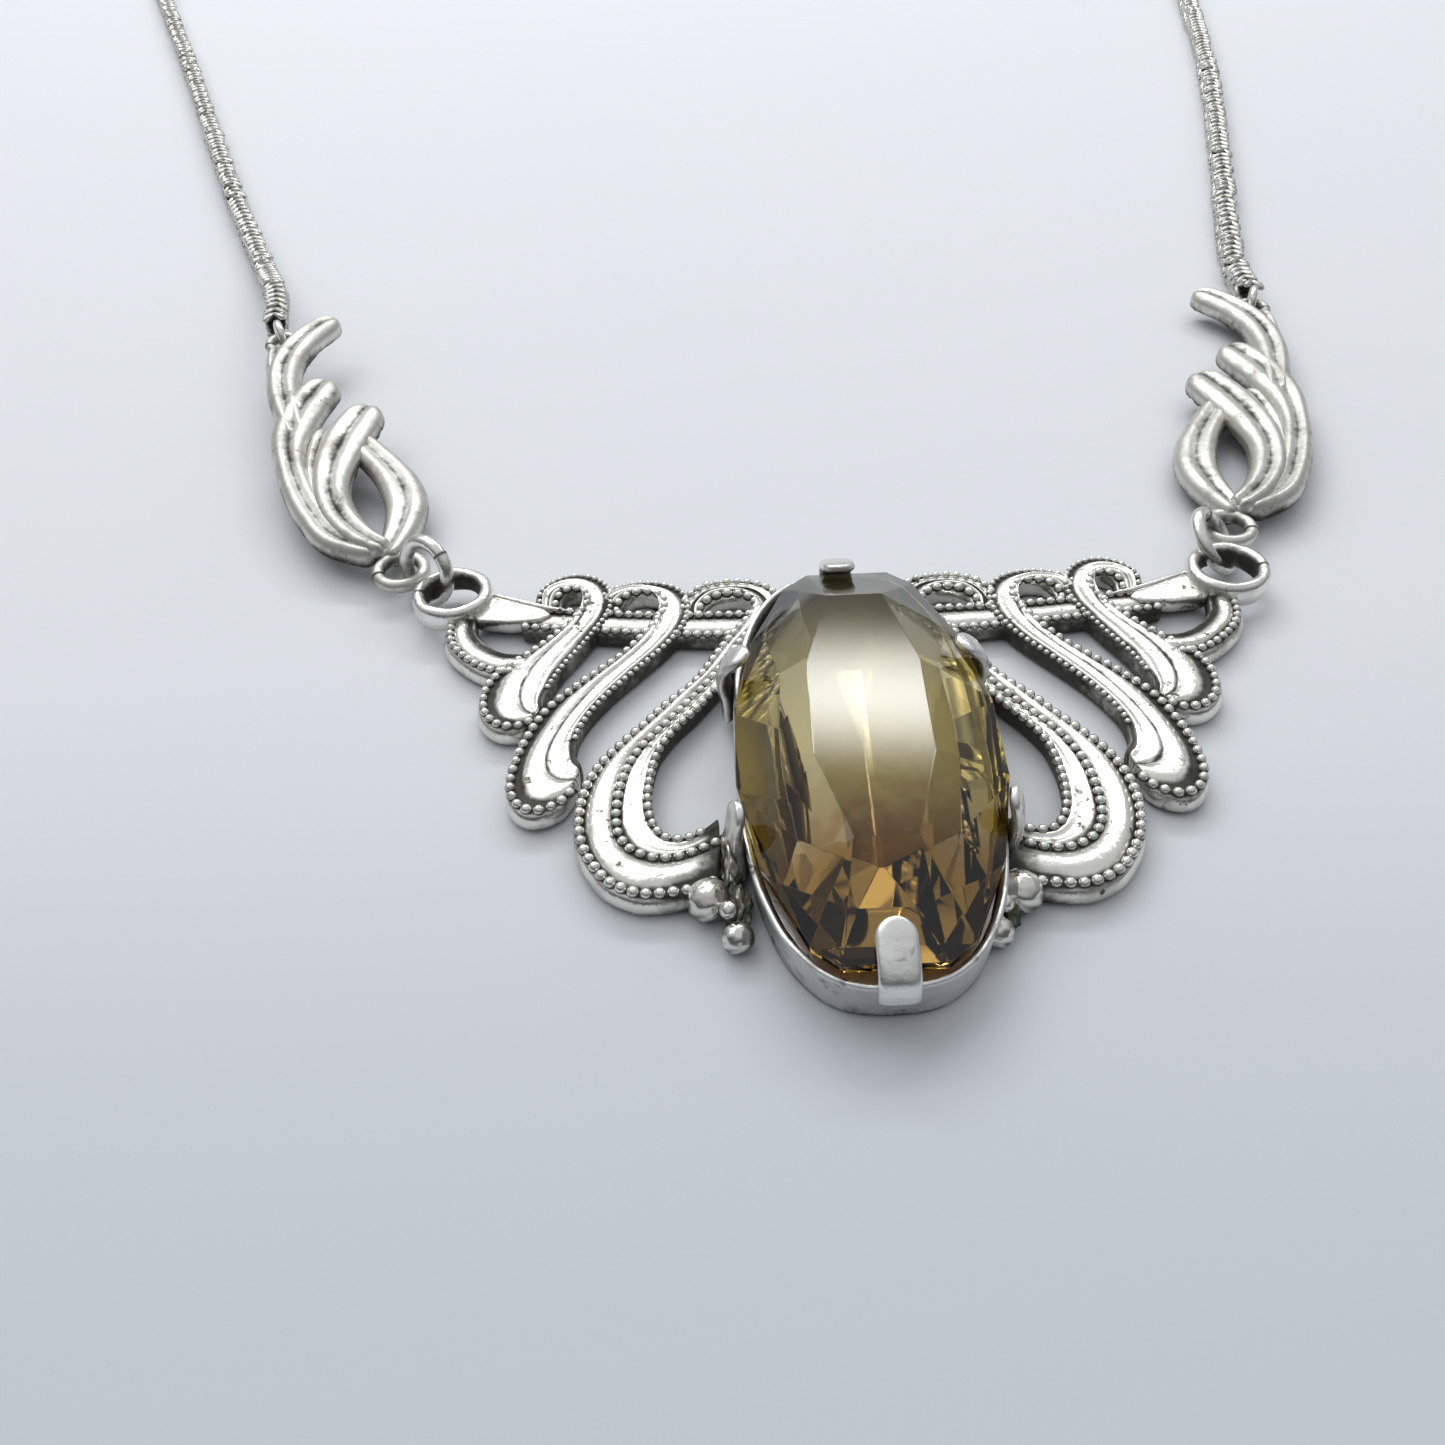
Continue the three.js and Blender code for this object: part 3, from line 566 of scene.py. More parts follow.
chains = {}
for side in ("right", "left"):
    nodes = (f"chain_{side}", f"chain_coil_{side}")
    chains[side] = piece(
        f"woven_chain_{side}", woven_chain(side), "chain silver",
        f"chain_{side}_body", replaces=nodes,
    )

# %% [markdown]
# Rings are bent from drawn wire and left with a fine cut where the ends meet. A torus has no such
# cut, so a grid is bent round almost a full turn instead, and both ends are closed. The eyelets are
# the same wire, soldered shut and worn uneven.

# %% Wire rings
EYELET_REACH = 21.0
RING_SHARP = 40
CLOSED = 0.001  # the cut in a ring that is soldered shut
CUT_SHADE = 0.08


def ring_placed(pull, tip, lean, centre):
    eyelet = moved(EYELET_REACH, 0, 0) @ turned(QUARTER_TURN + pull, "Z")
    return eyelet @ moved(*centre) @ turned(tip, "Y") @ turned(lean, "X")


def wire_ring(radius, wire, cut=0.02, start=0.0, uneven=0.03, around=72, sides=16, tall=1.0):
    bm = bmesh.new()

    def place(share, section):
        turn = start + cut / radius / 2 + share * (math.tau - cut / radius)
        angle = section * math.tau
        wobble = 1 + uneven * noise.noise(Vector((math.cos(turn), math.sin(turn), radius)) * 1.7)
        reach = radius + wire * wobble * math.cos(angle)
        # The side of the wire facing the ring's middle and the ends at the cut get painted shade.
        inner = max(0.0, -math.cos(angle)) ** 2
        end = math.exp(-min(share, 1 - share) * math.tau * radius / CUT_SHADE)
        rise = wire * wobble * tall * math.copysign(abs(math.sin(angle)) ** (1 / tall), math.sin(angle))
        point = Vector((reach * math.cos(turn), reach * math.sin(turn), rise))
        return point, 0.12 + 0.45 * tall * inner + 0.6 * end

    bend_grid(bm, around, sides, place)
    outwards(bm)
    return bm


JUMP_TIP = math.radians(-3.6)
SIDES = {
    "right": {
        "pull": math.radians(-14.5), "yaw": math.radians(-15.5), "lift": 0.0,
        "lean": math.radians(50), "ring": (2.41, 0.77, 1.68), "cut": 0.7,
    },
    "left": {
        "pull": math.radians(-51), "yaw": math.radians(-24), "lift": math.radians(3.5),
        "lean": math.radians(75), "ring": (2.37, 0.35, 2.0), "cut": 2.2,
    },
}
JUMP_PITCH = 4.3
LUG_SIDE = 0.9
LUG_RADIUS = 0.95
LINK_LENGTH = 27.4
EYE_HEIGHT = 1.3


def link_place(side):
    data = SIDES[side]
    pull = data["pull"]
    seat = (EYELET_REACH - JUMP_PITCH * math.sin(pull), JUMP_PITCH * math.cos(pull), EYE_HEIGHT)
    return moved(*seat) @ turned(data["yaw"], "Z") @ turned(data["lift"], "X")


for side, data in SIDES.items():
    left = side == "left"
    piece(
        f"jump_ring_wire_{side}", wire_ring(1.65, 0.40, start=data["cut"]), "ring silver",
        f"jump_{side}", replaces=[f"jump_ring_{side}"], sharp=RING_SHARP, mirror=left,
        local=ring_placed(data["pull"], JUMP_TIP, data["lean"], data["ring"]),
    )
    piece(
        f"chain_ring_wire_{side}", wire_ring(LUG_RADIUS, 0.27, start=1.0, around=48, sides=12),
        "ring silver", f"chain_{side}_body",
        replaces=[f"chain_ring_{side}"], sharp=RING_SHARP, mirror=left,
        local=link_place(side) @ moved(LUG_SIDE, LINK_LENGTH + LUG_RADIUS, 0) @ turned(QUARTER_TURN, "Y"),
    )
    piece(
        f"eyelet_wire_{side}", wire_ring(1.85, 0.40, cut=CLOSED, uneven=0.12, tall=1.7),
        "ring silver", "centrepiece",
        replaces=[f"eyelet_{side}"], sharp=RING_SHARP, mirror=left,
        local=moved(EYELET_REACH, 0, EYE_HEIGHT),
    )

# %% [markdown]
# A cast scroll is a strip with a moulded top: a row of milgrain beads along its edges, shiny bands
# between them, and a groove beside each row, darkened by patina and painted shade. It could be cut
# from a plate and carved, but a loft is nearer to how it was modelled in wax: a few rows are drawn,
# and a section is stretched between them, so that the bands widen and narrow just as the rows do.

# %% Scroll sections
# Each entry is: across, from row 0 outwards; a step outwards, in mm; height; patina and painted shade.
OUTER_EDGE = [
    (0, 0.20, 0.00, 0.8), (0, 0.42, 0.28, 0.35), (0, 0.46, 0.62, 0.12), (0, 0.36, 0.95, 0.10),
    (0, 0.22, 1.12, 0.45), (0, 0.05, 1.16, 0.95),
]


# The inner wall is darker by wall: patina, and painted shade down the wall.
def inner_edge(row, wall=0.35):
    return [
        (row - 0.10, 0, 1.14, 0.8), (row, 0, 1.20, 0.9), (row, -0.16, 1.22, 0.55),
        (row, -0.26, 1.02, 0.6 + wall), (row, -0.30, 0.45, 0.65 + wall), (row, -0.16, 0.00, 1.0),
    ]


WIDE_BAND = [
    (0.12, 0, 1.12, 0.95), (0.22, 0, 1.34, 0.15), (0.38, 0, 1.46, 0), (0.62, 0, 1.46, 0),
    (0.8, 0, 1.36, 0.1),
]
MIDDLE_ROW = [(0.90, 0, 1.16, 0.9), (1.0, 0, 1.18, 0.95), (1.12, 0, 1.14, 0.9)]
HOLLOW_BAND = [(1.24, 0, 1.34, 0.2), (1.42, 0, 1.20, 0.0), (1.62, 0, 1.20, 0.0), (1.80, 0, 1.34, 0.1)]
THREE_ROWS = [*OUTER_EDGE, *WIDE_BAND, *MIDDLE_ROW, *HOLLOW_BAND, *inner_edge(2)]
RIDGED = [
    (0.12, 0, 1.12, 0.95), (0.20, 0, 1.32, 0.15), (0.32, 0, 1.38, 0), (0.43, 0, 1.34, 0.1),
    (0.48, 0, 1.20, 0.75), (0.53, 0, 1.36, 0.1), (0.62, 0, 1.26, 0), (0.76, 0, 1.28, 0),
    (0.86, 0, 1.42, 0.1),
]
TWO_ROWS = [*OUTER_EDGE, *RIDGED, *inner_edge(1, 0.1)]
PLAIN = [
    (0.14, 0, 1.14, 0.9), (0.26, 0, 1.34, 0.15), (0.5, 0, 1.40, 0), (0.74, 0, 1.34, 0.15),
    (0.86, 0, 1.16, 0.7),
]
ONE_BAND = [*OUTER_EDGE, *PLAIN, *inner_edge(1, 0.1)]
ROUNDED_TO, LOW_END = 0.15, 0.35  # how narrow and how low a rounded end gets


def loft(bm, rows, section, steps, lift=lambda share: 1.0, fade=(0.0, 0.0), darkened_length=0.0):
    """Stretches a section between rows. Ends are rounded over fade, and a given length at the end
    darkens, as dirt and painted shade in a corner.
    """
    lines = [row if isinstance(row, Line) else Line([(x, y, 0) for x, y in row]) for row in rows]
    ring = [*section, section[0]]
    long = lines[0].length

    def place(share, part):
        across, out, height, dark = ring[round(part * (len(ring) - 1))]
        points = [line(share) for line in lines]
        outside = (points[0] - points[-1]).normalized()
        low = min(int(across), len(points) - 2)
        point = points[low].lerp(points[low + 1], across - low) + outside * out
        centre = points[0].lerp(points[-1], 0.5)
        near = [min(d / f, 1.0) if f else 1.0 for d, f in zip((share * long, (1 - share) * long), fade)]
        round_off = math.sqrt(max(1 - (1 - min(near)) ** 2, 0.0))
        point = centre.lerp(point, ROUNDED_TO + (1 - ROUNDED_TO) * round_off)
        point.z = height * lift(share) * (LOW_END + (1 - LOW_END) * round_off)
        # The end darkens over its last mm, as dirt and painted shade in the corner.
        end_darkening = 0.9 * max(0.0, (darkened_length - (1 - share) * long) / darkened_length) if darkened_length else 0.0
        return point, dark + end_darkening

    bend_grid(bm, steps, len(ring) - 1, place)


def edges_of(stations):
    """The two edges of a strip drawn as its middle and half width."""
    centre = smooth_points(stations)
    left, right = [], []
    for i, here in enumerate(centre):
        ahead = centre[min(i + 1, len(centre) - 1)] - centre[max(i - 1, 0)]
        side = Vector((-ahead.y, ahead.x, 0)).normalized() * here.z
        flat = Vector((here.x, here.y, 0))
        left.append(flat + side)
        right.append(flat - side)
    return Line(left, smooth=False), Line(right, smooth=False)


print("a three-row section has", len(THREE_ROWS), "corners")

# %% [markdown]
# Milgrain is a row of tiny beads, rolled into an edge with a wheel. The beads could be an array on a
# curve, but stamping one low mesh along a row lets each bead differ a little, as worn ones do.

# %% Milgrain rows
BEAD_PITCH = 0.60
BEAD_RADIUS = 0.27


def bead(bm):
    dark = bm.verts.layers.float.new(PATINA_AND_SHADE)
    # The lower half of each bead is painted darker: shade under it, and patina between the beads.
    for corner in bmesh.ops.create_uvsphere(bm, u_segments=10, v_segments=6, radius=1)["verts"]:
        corner[dark] = min(max(0.62 - corner.co.z * 0.9, 0.0), 1.0)


bead_mesh = stamp_of(bead)


def bead_row(bm, row, height, radius=BEAD_RADIUS, pitch=BEAD_PITCH, span=(0.0, 1.0), lift=None):
    line = row if isinstance(row, Line) else Line([(x, y, 0) for x, y in row])
    count = max(2, round(line.length * (span[1] - span[0]) / pitch))
    for k in range(count):
        share = span[0] + (span[1] - span[0]) * (k + 0.5) / count
        heading = line.heading(share)
        point = line(share)
        point.z = height * (lift(share) if lift else 1.0)
        size = radius * (1 + 0.10 * noise.noise(point * 3.1))
        stretch = Matrix.Diagonal((size * 1.08, size, size, 1))
        turn = turned(math.atan2(heading.y, heading.x), "Z")
        stamp(bm, bead_mesh, Matrix.Translation(point) @ turn @ stretch)


print("a bead has", len(bead_mesh.polygons), "faces")

# %% [markdown]
# The three scrolls of a wing hang from a rail like folds of a curtain. Each has its own rows, drawn
# once for the right-hand wing. The left one is the same drawing mirrored.

# %% Rows of the scrolls
SCROLL_ONE = [
    [(7.5, -2.0), (7.4, -1.0), (6.7, -0.4), (5.7, -0.2), (4.8, -0.6), (4.4, -1.4), (4.8, -2.4),
     (5.7, -3.9), (6.7, -5.9), (7.7, -7.8), (9, -9.3), (10, -10.7), (11, -12), (11.9, -13.3),
     (12.45, -14.5), (12.75, -16), (12.75, -17.5), (12.5, -18.7), (12.0, -19.8), (11.2, -20.9),
     (10, -21.6), (9, -21.7), (8.1, -21.6), (7.2, -21.4), (6.3, -20.95)],
    [(7.9, -2.0), (7.8, -0.9), (7.0, 0.0), (5.7, 0.3), (4.4, -0.1), (3.8, -1.2), (4.1, -2.5),
     (5.1, -4.1), (6.1, -6.2), (7.4, -8.4), (8.9, -10.6), (9.9, -12), (10.5, -13.2), (10.9, -14.5),
     (11.05, -15.8), (11.05, -17), (10.9, -18), (10.4, -18.9), (9.7, -19.4), (8.9, -19.6), (8, -19.5),
     (7.1, -19.1), (6.2, -18.6)],
    [(8.4, -2.0), (8.3, -0.7), (7.3, 0.45), (5.7, 0.8), (4.1, 0.4), (3.2, -0.8), (3.3, -2.4),
     (4.4, -4.3), (5.5, -6.4), (6.6, -8.2), (7.6, -9.8), (8.4, -10.9), (9.2, -12.4), (9.5, -13.6),
     (9.65, -15), (9.6, -16.4), (9.3, -17.6), (8.8, -18.3), (8.1, -18.5), (7.4, -18.3), (6.9, -17.9),
     (6.3, -17.3)],
]
SCROLL_TWO = [
    [(12.0, -1.4), (11.95, -0.6), (11.4, 0.0), (10.6, 0.2), (9.8, 0.0), (9.4, -0.6), (9.4, -1.4),
     (9.8, -2.5), (10.5, -3.8), (11.5, -5.3), (12.5, -6.4), (13.6, -7.6), (14.8, -9.1), (15.5, -10.6),
     (16.05, -12.5), (16.25, -14.2), (16.1, -15.3), (15.6, -16.1), (14.9, -16.4), (14.2, -16.2),
     (13.6, -15.7), (13.2, -15.0)],
    [(12.9, -1.5), (12.9, -0.4), (12.2, 0.5), (10.8, 0.95), (9.3, 0.7), (8.4, -0.1), (8.1, -1.3),
     (8.3, -2.7), (9.0, -4.2), (10, -5.6), (11, -6.9), (12, -8.3), (12.8, -9.7), (13.3, -11),
     (13.4, -12), (13.35, -12.8), (13.1, -13.3), (12.8, -13.7)],
]
SCROLL_THREE = [
    [(15.4, -0.6), (15.3, 0.1), (14.8, 0.6), (14.2, 0.65), (13.75, 0.25), (13.6, -0.4), (13.8, -1.2),
     (14.6, -2.7), (15.8, -4.3), (17.3, -5.9), (18.1, -7.1), (18.3, -8.3), (18.1, -9.4),
     (17.5, -10.2), (16.8, -10.5), (16.1, -10.4), (15.6, -10.0)],
    [(16.2, -0.8), (16.2, 0.5), (15.4, 1.5), (14.3, 1.85), (13.2, 1.45), (12.5, 0.5), (12.3, -0.6),
     (12.5, -1.8), (13.0, -3.0), (13.7, -4.5), (14.5, -6.0), (15.0, -7.3), (15.3, -8.2),
     (15.35, -8.9), (15.2, -9.4)],
]
LEAF = [
    (20.3, -1.6, 0.5), (20.1, -3.3, 0.6), (19.2, -4.6, 0.62), (17.9, -5.5, 0.65), (16.4, -5.6, 0.6),
]
RAIL = [
    (2.9, -2.75, 0.85), (6.0, -2.75, 0.85), (9.0, -2.6, 0.8), (12.0, -2.3, 0.75), (15.0, -1.9, 0.75),
    (17.0, -1.7, 0.7),
]
END_PLATE = [
    (14.9, -2.4), (15.7, -1.05), (16.9, -0.65), (18.1, -0.1), (19.2, 0.45), (19.8, -0.6), (20.4, -2.3),
]
PLATE_RIDGE = [
    (14.6, -1.35), (15.7, -1.1), (16.9, -0.65), (18.1, -0.1), (19.3, 0.55),
]
CROOK_FOOT = 0.72
CROOK_SHARE = 0.07
RAIL_HEIGHT = 0.84
PLATE_HEIGHT = 1.38
RIDGE_THICK = 0.20
PLAIN_FADE = (0.0, 0.5)


def crook_start(share):
    """A scroll's top curls over into an arch, whose foot sinks into the rail."""
    return CROOK_FOOT + (1 - CROOK_FOOT) * min(share / CROOK_SHARE, 1.0)


def scroll_strips(bm):
    loft(bm, SCROLL_ONE, THREE_ROWS, 190, crook_start, darkened_length=3.2)
    loft(bm, SCROLL_TWO, TWO_ROWS, 150, crook_start, fade=PLAIN_FADE)
    loft(bm, SCROLL_THREE, TWO_ROWS, 130, crook_start, fade=PLAIN_FADE)


def rail_strips(bm):
    loft(bm, edges_of(LEAF), ONE_BAND, 48)
    loft(bm, edges_of(RAIL), ONE_BAND, 60, lambda share: RAIL_HEIGHT)
    ridge = Line([(x, y, 1.28) for x, y in PLATE_RIDGE])

    def place(share, section):
        angle = section * math.tau
        ahead = ridge.heading(share, 0.02)
        side = Vector((-ahead.y, ahead.x, 0))
        thick = RIDGE_THICK * math.sqrt(max(math.sin(math.pi * min(max(share, 0.02), 0.98)), 0.05))
        round_it = side * thick * math.cos(angle) + Vector((0, 0, thick * math.sin(angle)))
        return ridge(share) + round_it, 0.1

    bend_grid(bm, 30, 10, place)


def end_plate(bm):
    dark = bm.verts.layers.float.get(PATINA_AND_SHADE)
    corners = [bm.verts.new((x, y, 0.0)) for x, y in END_PLATE]
    face = bmesh.ops.contextual_create(bm, geom=corners)["faces"]
    raised = bmesh.ops.extrude_face_region(bm, geom=face)["geom"]
    top = [item for item in raised if isinstance(item, bmesh.types.BMVert)]
    bmesh.ops.translate(bm, verts=top, vec=(0, 0, PLATE_HEIGHT))
    rim = [edge for edge in bm.edges if edge.is_valid and all(v in top for v in edge.verts)]
    bmesh.ops.bevel(
        bm, geom=rim, offset=0.22, segments=3, profile=0.5, material=-1,
        affect="EDGES", clamp_overlap=True,
    )
    # The plate's foot, low down by the table, gets painted shade.
    for corner in bm.verts:
        if corner[dark] == 0.0 and corner.co.z < 0.3:
            corner[dark] = 0.8


def wing_metal():
    bm = bmesh.new()
    bm.verts.layers.float.new(PATINA_AND_SHADE)
    scroll_strips(bm)
    rail_strips(bm)
    end_plate(bm)
    outwards(bm)
    return bm


def wing_beads():
    bm = bmesh.new()
    outer, centre, inner = SCROLL_ONE
    bead_row(bm, outer, 1.24, lift=crook_start)
    bead_row(bm, centre, 1.24, lift=crook_start, span=(0.2, 1.0), radius=0.25)
    bead_row(bm, inner, 1.24, lift=crook_start, span=(0.0, 0.97), radius=0.24, pitch=0.56)
    bead_row(bm, SCROLL_TWO[0], 1.22, lift=crook_start, radius=0.25)
    bead_row(bm, SCROLL_TWO[1], 1.22, lift=crook_start, radius=0.17, pitch=0.45, span=(0.0, 0.9))
    bead_row(bm, SCROLL_THREE[0], 1.22, lift=crook_start, radius=0.24, pitch=0.56)
    bead_row(bm, SCROLL_THREE[1], 1.22, lift=crook_start, radius=0.16, pitch=0.42, span=(0.0, 0.9))
    bead_row(bm, edges_of(LEAF)[0], 1.22, radius=0.22, pitch=0.52)
    for edge in edges_of(RAIL):
        bead_row(bm, edge, 1.08, radius=0.24, pitch=0.54)
    return bm


for side in ("right", "left"):
    left = side == "left"
    piece(
        f"scroll_metal_{side}", wing_metal(), "scroll silver", "centrepiece",
        replaces=[f"scroll_wing_{side}"], levels=1, mirror=left,
    )
    piece(
        f"milgrain_{side}", wing_beads(), "bead silver", "centrepiece", slot="scroll_silver", mirror=left
    )

# %% [markdown]
# The little balls in the corner are shot silver, melted round and not quite even.

# %% Granules
# across, along, height and radius
GRANULES = {
    "large": (6.75, -21.9, 0.98, 0.98), "small": (5.5, -23.85, 0.74, 0.72),
    "tiny": (5.85, -22.95, 1.5, 0.42),
}


def granule(bm, x, y, z, radius):
    dark = bm.verts.layers.float.new(PATINA_AND_SHADE)
    for corner in bmesh.ops.create_icosphere(bm, subdivisions=5, radius=1)["verts"]:
        way = corner.co.normalized()
        swirl = math.sin(6.0 * math.atan2(way.y, way.x) + 9.0 * way.z) * 0.012
        lump = 0.05 * noise.noise(way * 2.2 + Vector((x, y, z)))
        corner.co = Vector((x, y, z)) + way * radius * (1 + swirl + lump)
        # Each ball is painted darker on its underside, as shade, and towards the collar, as verdigris
        # dirt and shade in the corner; its swirl grooves darken too.
        towards_collar = max(0.0, -way.x * 0.8 + way.y * 0.45)
        corner[dark] = min(max(0.46 - way.z * 0.55 + towards_collar * 0.8 - swirl * 14, 0.0), 1.2)


for side in ("right", "left"):
    for size, numbers in GRANULES.items():
        bm = bmesh.new()
        granule(bm, *numbers)
        piece(
            f"ball_{side}_{size}", bm, "aged silver", "centrepiece",
            replaces=[f"granule_{side}_{size}"], mirror=side == "left",
        )

# %% [markdown]
# Where the balls, the scroll's end and the collar meet, solder has run into the corner and dirt has
# filled what was left. It is modelled as two lumps with an uneven skin, a little further in on the
# left, where the collar stands further from the wing.

# %% Solder in the corners
SOLDER_LUMPS = [((0.0, -19.2, 0.62), (0.62, 1.95, 0.62)), ((-0.25, -22.2, 0.66), (0.62, 1.25, 0.60))]
SOLDER_SIDE = {"right": 6.45, "left": 5.75}


def solder(middle_x):
    bm = bmesh.new()
    dark = bm.verts.layers.float.new(PATINA_AND_SHADE)
    for (x, y, z), size in SOLDER_LUMPS:
        centre = Vector((middle_x + x, y, z))
        for corner in bmesh.ops.create_icosphere(bm, subdivisions=5, radius=1)["verts"]:
            way = corner.co.normalized()
            lump = 1 + 0.30 * noise.noise(way * 2.4 + centre) + 0.12 * noise.noise(way * 7.0 + centre)
            corner.co = centre + Vector([w * s * lump for w, s in zip(way, size)])
            # Dirt in uneven patches, with a little painted shade on the underside.
            corner[dark] = 0.98 + 0.45 * noise.noise(way * 3.0 - centre) - 0.2 * way.z
    return bm


for side, middle_x in SOLDER_SIDE.items():
    piece(
        f"solder_{side}", solder(middle_x), "aged silver", "centrepiece", mirror=side == "left",
    )

# %% [markdown]
# The collar is a strip of sheet silver bent round the stone. Its wall is a grid bent round an oval,
# with a thin bright rim that was burnished by hand and so is never quite level.

# %% Collar
STONE_TURN = moved(0.4, -14.4, 0) @ turned(math.radians(2.2), "Z")
COLLAR_HEIGHT = 2.72
COLLAR_HALF_WIDTH = 5.6
COLLAR_HALF_LENGTH = 13.42
COLLAR_SQUARENESS = 2.6
COLLAR_TAPER = 0.045


def collar_point(angle, grow, height):
    power = 2 / COLLAR_SQUARENESS
    cosine, sine = math.cos(angle), math.sin(angle)
    x = (COLLAR_HALF_WIDTH + grow) * math.copysign(abs(cosine) ** power, cosine)
    y = (COLLAR_HALF_LENGTH + grow) * math.copysign(abs(sine) ** power, sine)
    narrow = 1 - COLLAR_TAPER * (1 - height / COLLAR_HEIGHT)
    return Vector((x * narrow, y * narrow, height))


# Each entry is: grow, height, and patina with painted shade, darkest on the inner face and at the foot.
COLLAR_SECTION = [
    (0.40, 0.00, 0.9), (0.42, 0.25, 0.4), (0.40, 0.8, 0.15), (0.40, 1.5, 0.12), (0.40, 2.15, 0.15),
    (0.42, 2.52, 0.05), (0.38, 2.66, 0.0), (0.24, 2.72, 0.0), (0.10, 2.66, 0.2), (0.03, 2.45, 0.7),
    (0.03, 1.8, 1.0), (0.03, 0.8, 1.0), (0.03, 0.0, 1.0),
]


def collar():
    bm = bmesh.new()
    ring = [*COLLAR_SECTION, COLLAR_SECTION[0]]

    def place(share, part):
        grow, height, dark = ring[round(part * (len(ring) - 1))]
        angle = share * math.tau
        spot = Vector((math.cos(angle), math.sin(angle), 0.0))
        dent = noise.noise(spot * 5.0 + Vector((0, 0, height)))
        dip = (0.20 * math.cos(angle) ** 4 + 0.05 * (1 + dent)) * (height / COLLAR_HEIGHT) ** 3
        return collar_point(angle, grow + 0.03 * dent, height - dip), dark

    bend_grid(bm, 220, len(ring) - 1, place, closed_ends=False)
    outwards(bm)
    return bm


piece(
    "collar_band", collar(), "collar silver", "centrepiece",
    replaces=["setting_collar"], levels=1, local=STONE_TURN,
)

# %% [markdown]
# The stone is cut glass: a long flat table on top, a sloping crown round it, a thin girdle, and a
# pavilion that narrows to a keel below. The facets could be sliced off a block one by one. A convex
# hull is quicker, since it gives exactly such flat facets from their corner points.

# %% Stone
# The corners of one quarter, as across and along, from the table down to the keel.
GIRDLE = [(2.1, 13.0), (3.35, 11.9), (5.2, 7.5), (6.12, 2.6)]
TABLE = [(1.35, 8.15), (2.65, 3.1)]
PAVILION = [(1.9, 11.3), (3.9, 7.9), (4.5, 2.4)]
UNDERSIDE = [(1.2, 8.8), (2.7, 5.2), (3.0, 1.5)]
KEEL = [(0.12, 6.2), (0.2, 2.6)]
STONE_ROWS = [
    (TABLE, 5.45), (GIRDLE, 3.15), (GIRDLE, 2.75), (PAVILION, 1.95), (UNDERSIDE, 1.15), (KEEL, 0.5),
]
# The stone sits a little askew in its collar.
STONE_TILT = moved(0.05, -8.0, 0) @ turned(math.radians(-1.2), "Z") @ moved(0, 8.0, 0)
FACET_EDGE = 0.02


def both_ways(quarter):
    return [(sx * x, sy * y) for x, y in quarter for sx in (1, -1) for sy in (1, -1)]


def stone():
    bm = bmesh.new()
    for quarter, height in STONE_ROWS:
        for x, y in both_ways(quarter):
            bm.verts.new((x, y, height))
    made = bmesh.ops.convex_hull(bm, input=bm.verts)
    spare = [item for item in made["geom_interior"] if isinstance(item, bmesh.types.BMVert)]
    bmesh.ops.delete(bm, geom=spare, context="VERTS")
    bmesh.ops.dissolve_limit(bm, angle_limit=math.radians(0.5), verts=bm.verts, edges=bm.edges)
    bmesh.ops.bevel(
        bm, geom=bm.edges[:], offset=FACET_EDGE, segments=1, profile=0.5, material=-1, affect="EDGES"
    )
    bm.transform(STONE_TILT)
    return bm


print("the stone has", sum(len(both_ways(quarter)) for quarter, height in STONE_ROWS), "corners")

# %% [markdown]
# Smoky citrine glass is not one colour: it is brown at the lower end, amber at the sides, honey
# yellow in the middle and grey green towards the top. Glass takes its look from what it bends and
# mirrors, so the shader is a clear one with a low roughness, and its colour alone changes.

# %% Smoky glass
HONEY, AMBER = (0.80, 0.70, 0.36), (0.64, 0.43, 0.05)
GREY_GREEN, BROWN = (0.50, 0.47, 0.34), (0.21, 0.075, 0.006)


def smoky_glass():
    finish = Finish("smoky glass")
    centre = at(*(STONE_TURN @ Vector((0, 0, 3.0))))
    centred = finish.node(
        "ShaderNodeMapping", {"vector_type": "POINT"},
        Vector=finish.place, Location=tuple(-v for v in centre),
    )["Vector"]
    parts = finish.node("ShaderNodeSeparateXYZ", Vector=centred)
    along = parts["Y"] * 1000.0
    across = parts["X"] * 1000.0
    streak = finish.noise(900.0, 4.0)
    brown = finish.step(along * -1.0 + (streak - 0.5) * 4.0, 1.0, 9.0)
    grey = finish.step(along + (streak - 0.5) * 2.0, 3.0, 12.0)
    side = finish.step(across * across, 6.0, 30.0)
    tone = finish.blend(side, HONEY, AMBER)
    tone = finish.blend(grey, tone, GREY_GREEN)
    tone = finish.blend(brown, tone, BROWN)
    finish.set(Base_Color=tone, Roughness=0.02, IOR=1.53, Transmission_Weight=1.0, Specular_IOR_Level=0.6)
    return finish.material


finishes["smoky glass"] = smoky_glass()
piece(
    "cut_stone", stone(), "smoky glass", "centrepiece",
    replaces=["stone"], sharp=3, local=STONE_TURN,
)

# %% [markdown]
# The prongs are flat tabs, bent up the outside of the collar and pressed over the crown. A tab is a
# strip bent along its side view, whose width shrinks to a round tip at the end.

# %% Prongs
END_PATH = [
    (0.50, 2.0), (0.54, 2.3), (0.54, 2.7), (0.40, 3.2), (-0.25, 3.72), (-1.05, 4.10), (-1.8, 4.45),
]
LOWER_PATH = [(0.62, 0.6), (0.66, 1.6), (0.80, 2.6), (0.78, 3.3), (0.66, 4.0), (0.46, 4.7)]
UPPER_PATH = [(0.64, 0.6), (0.72, 2.0), (0.90, 3.0), (0.70, 3.8), (0.15, 4.35), (-0.45, 4.65)]
END_WIDTH, SIDE_WIDTH = 1.75, 1.6
PRONG_THICK = 0.29


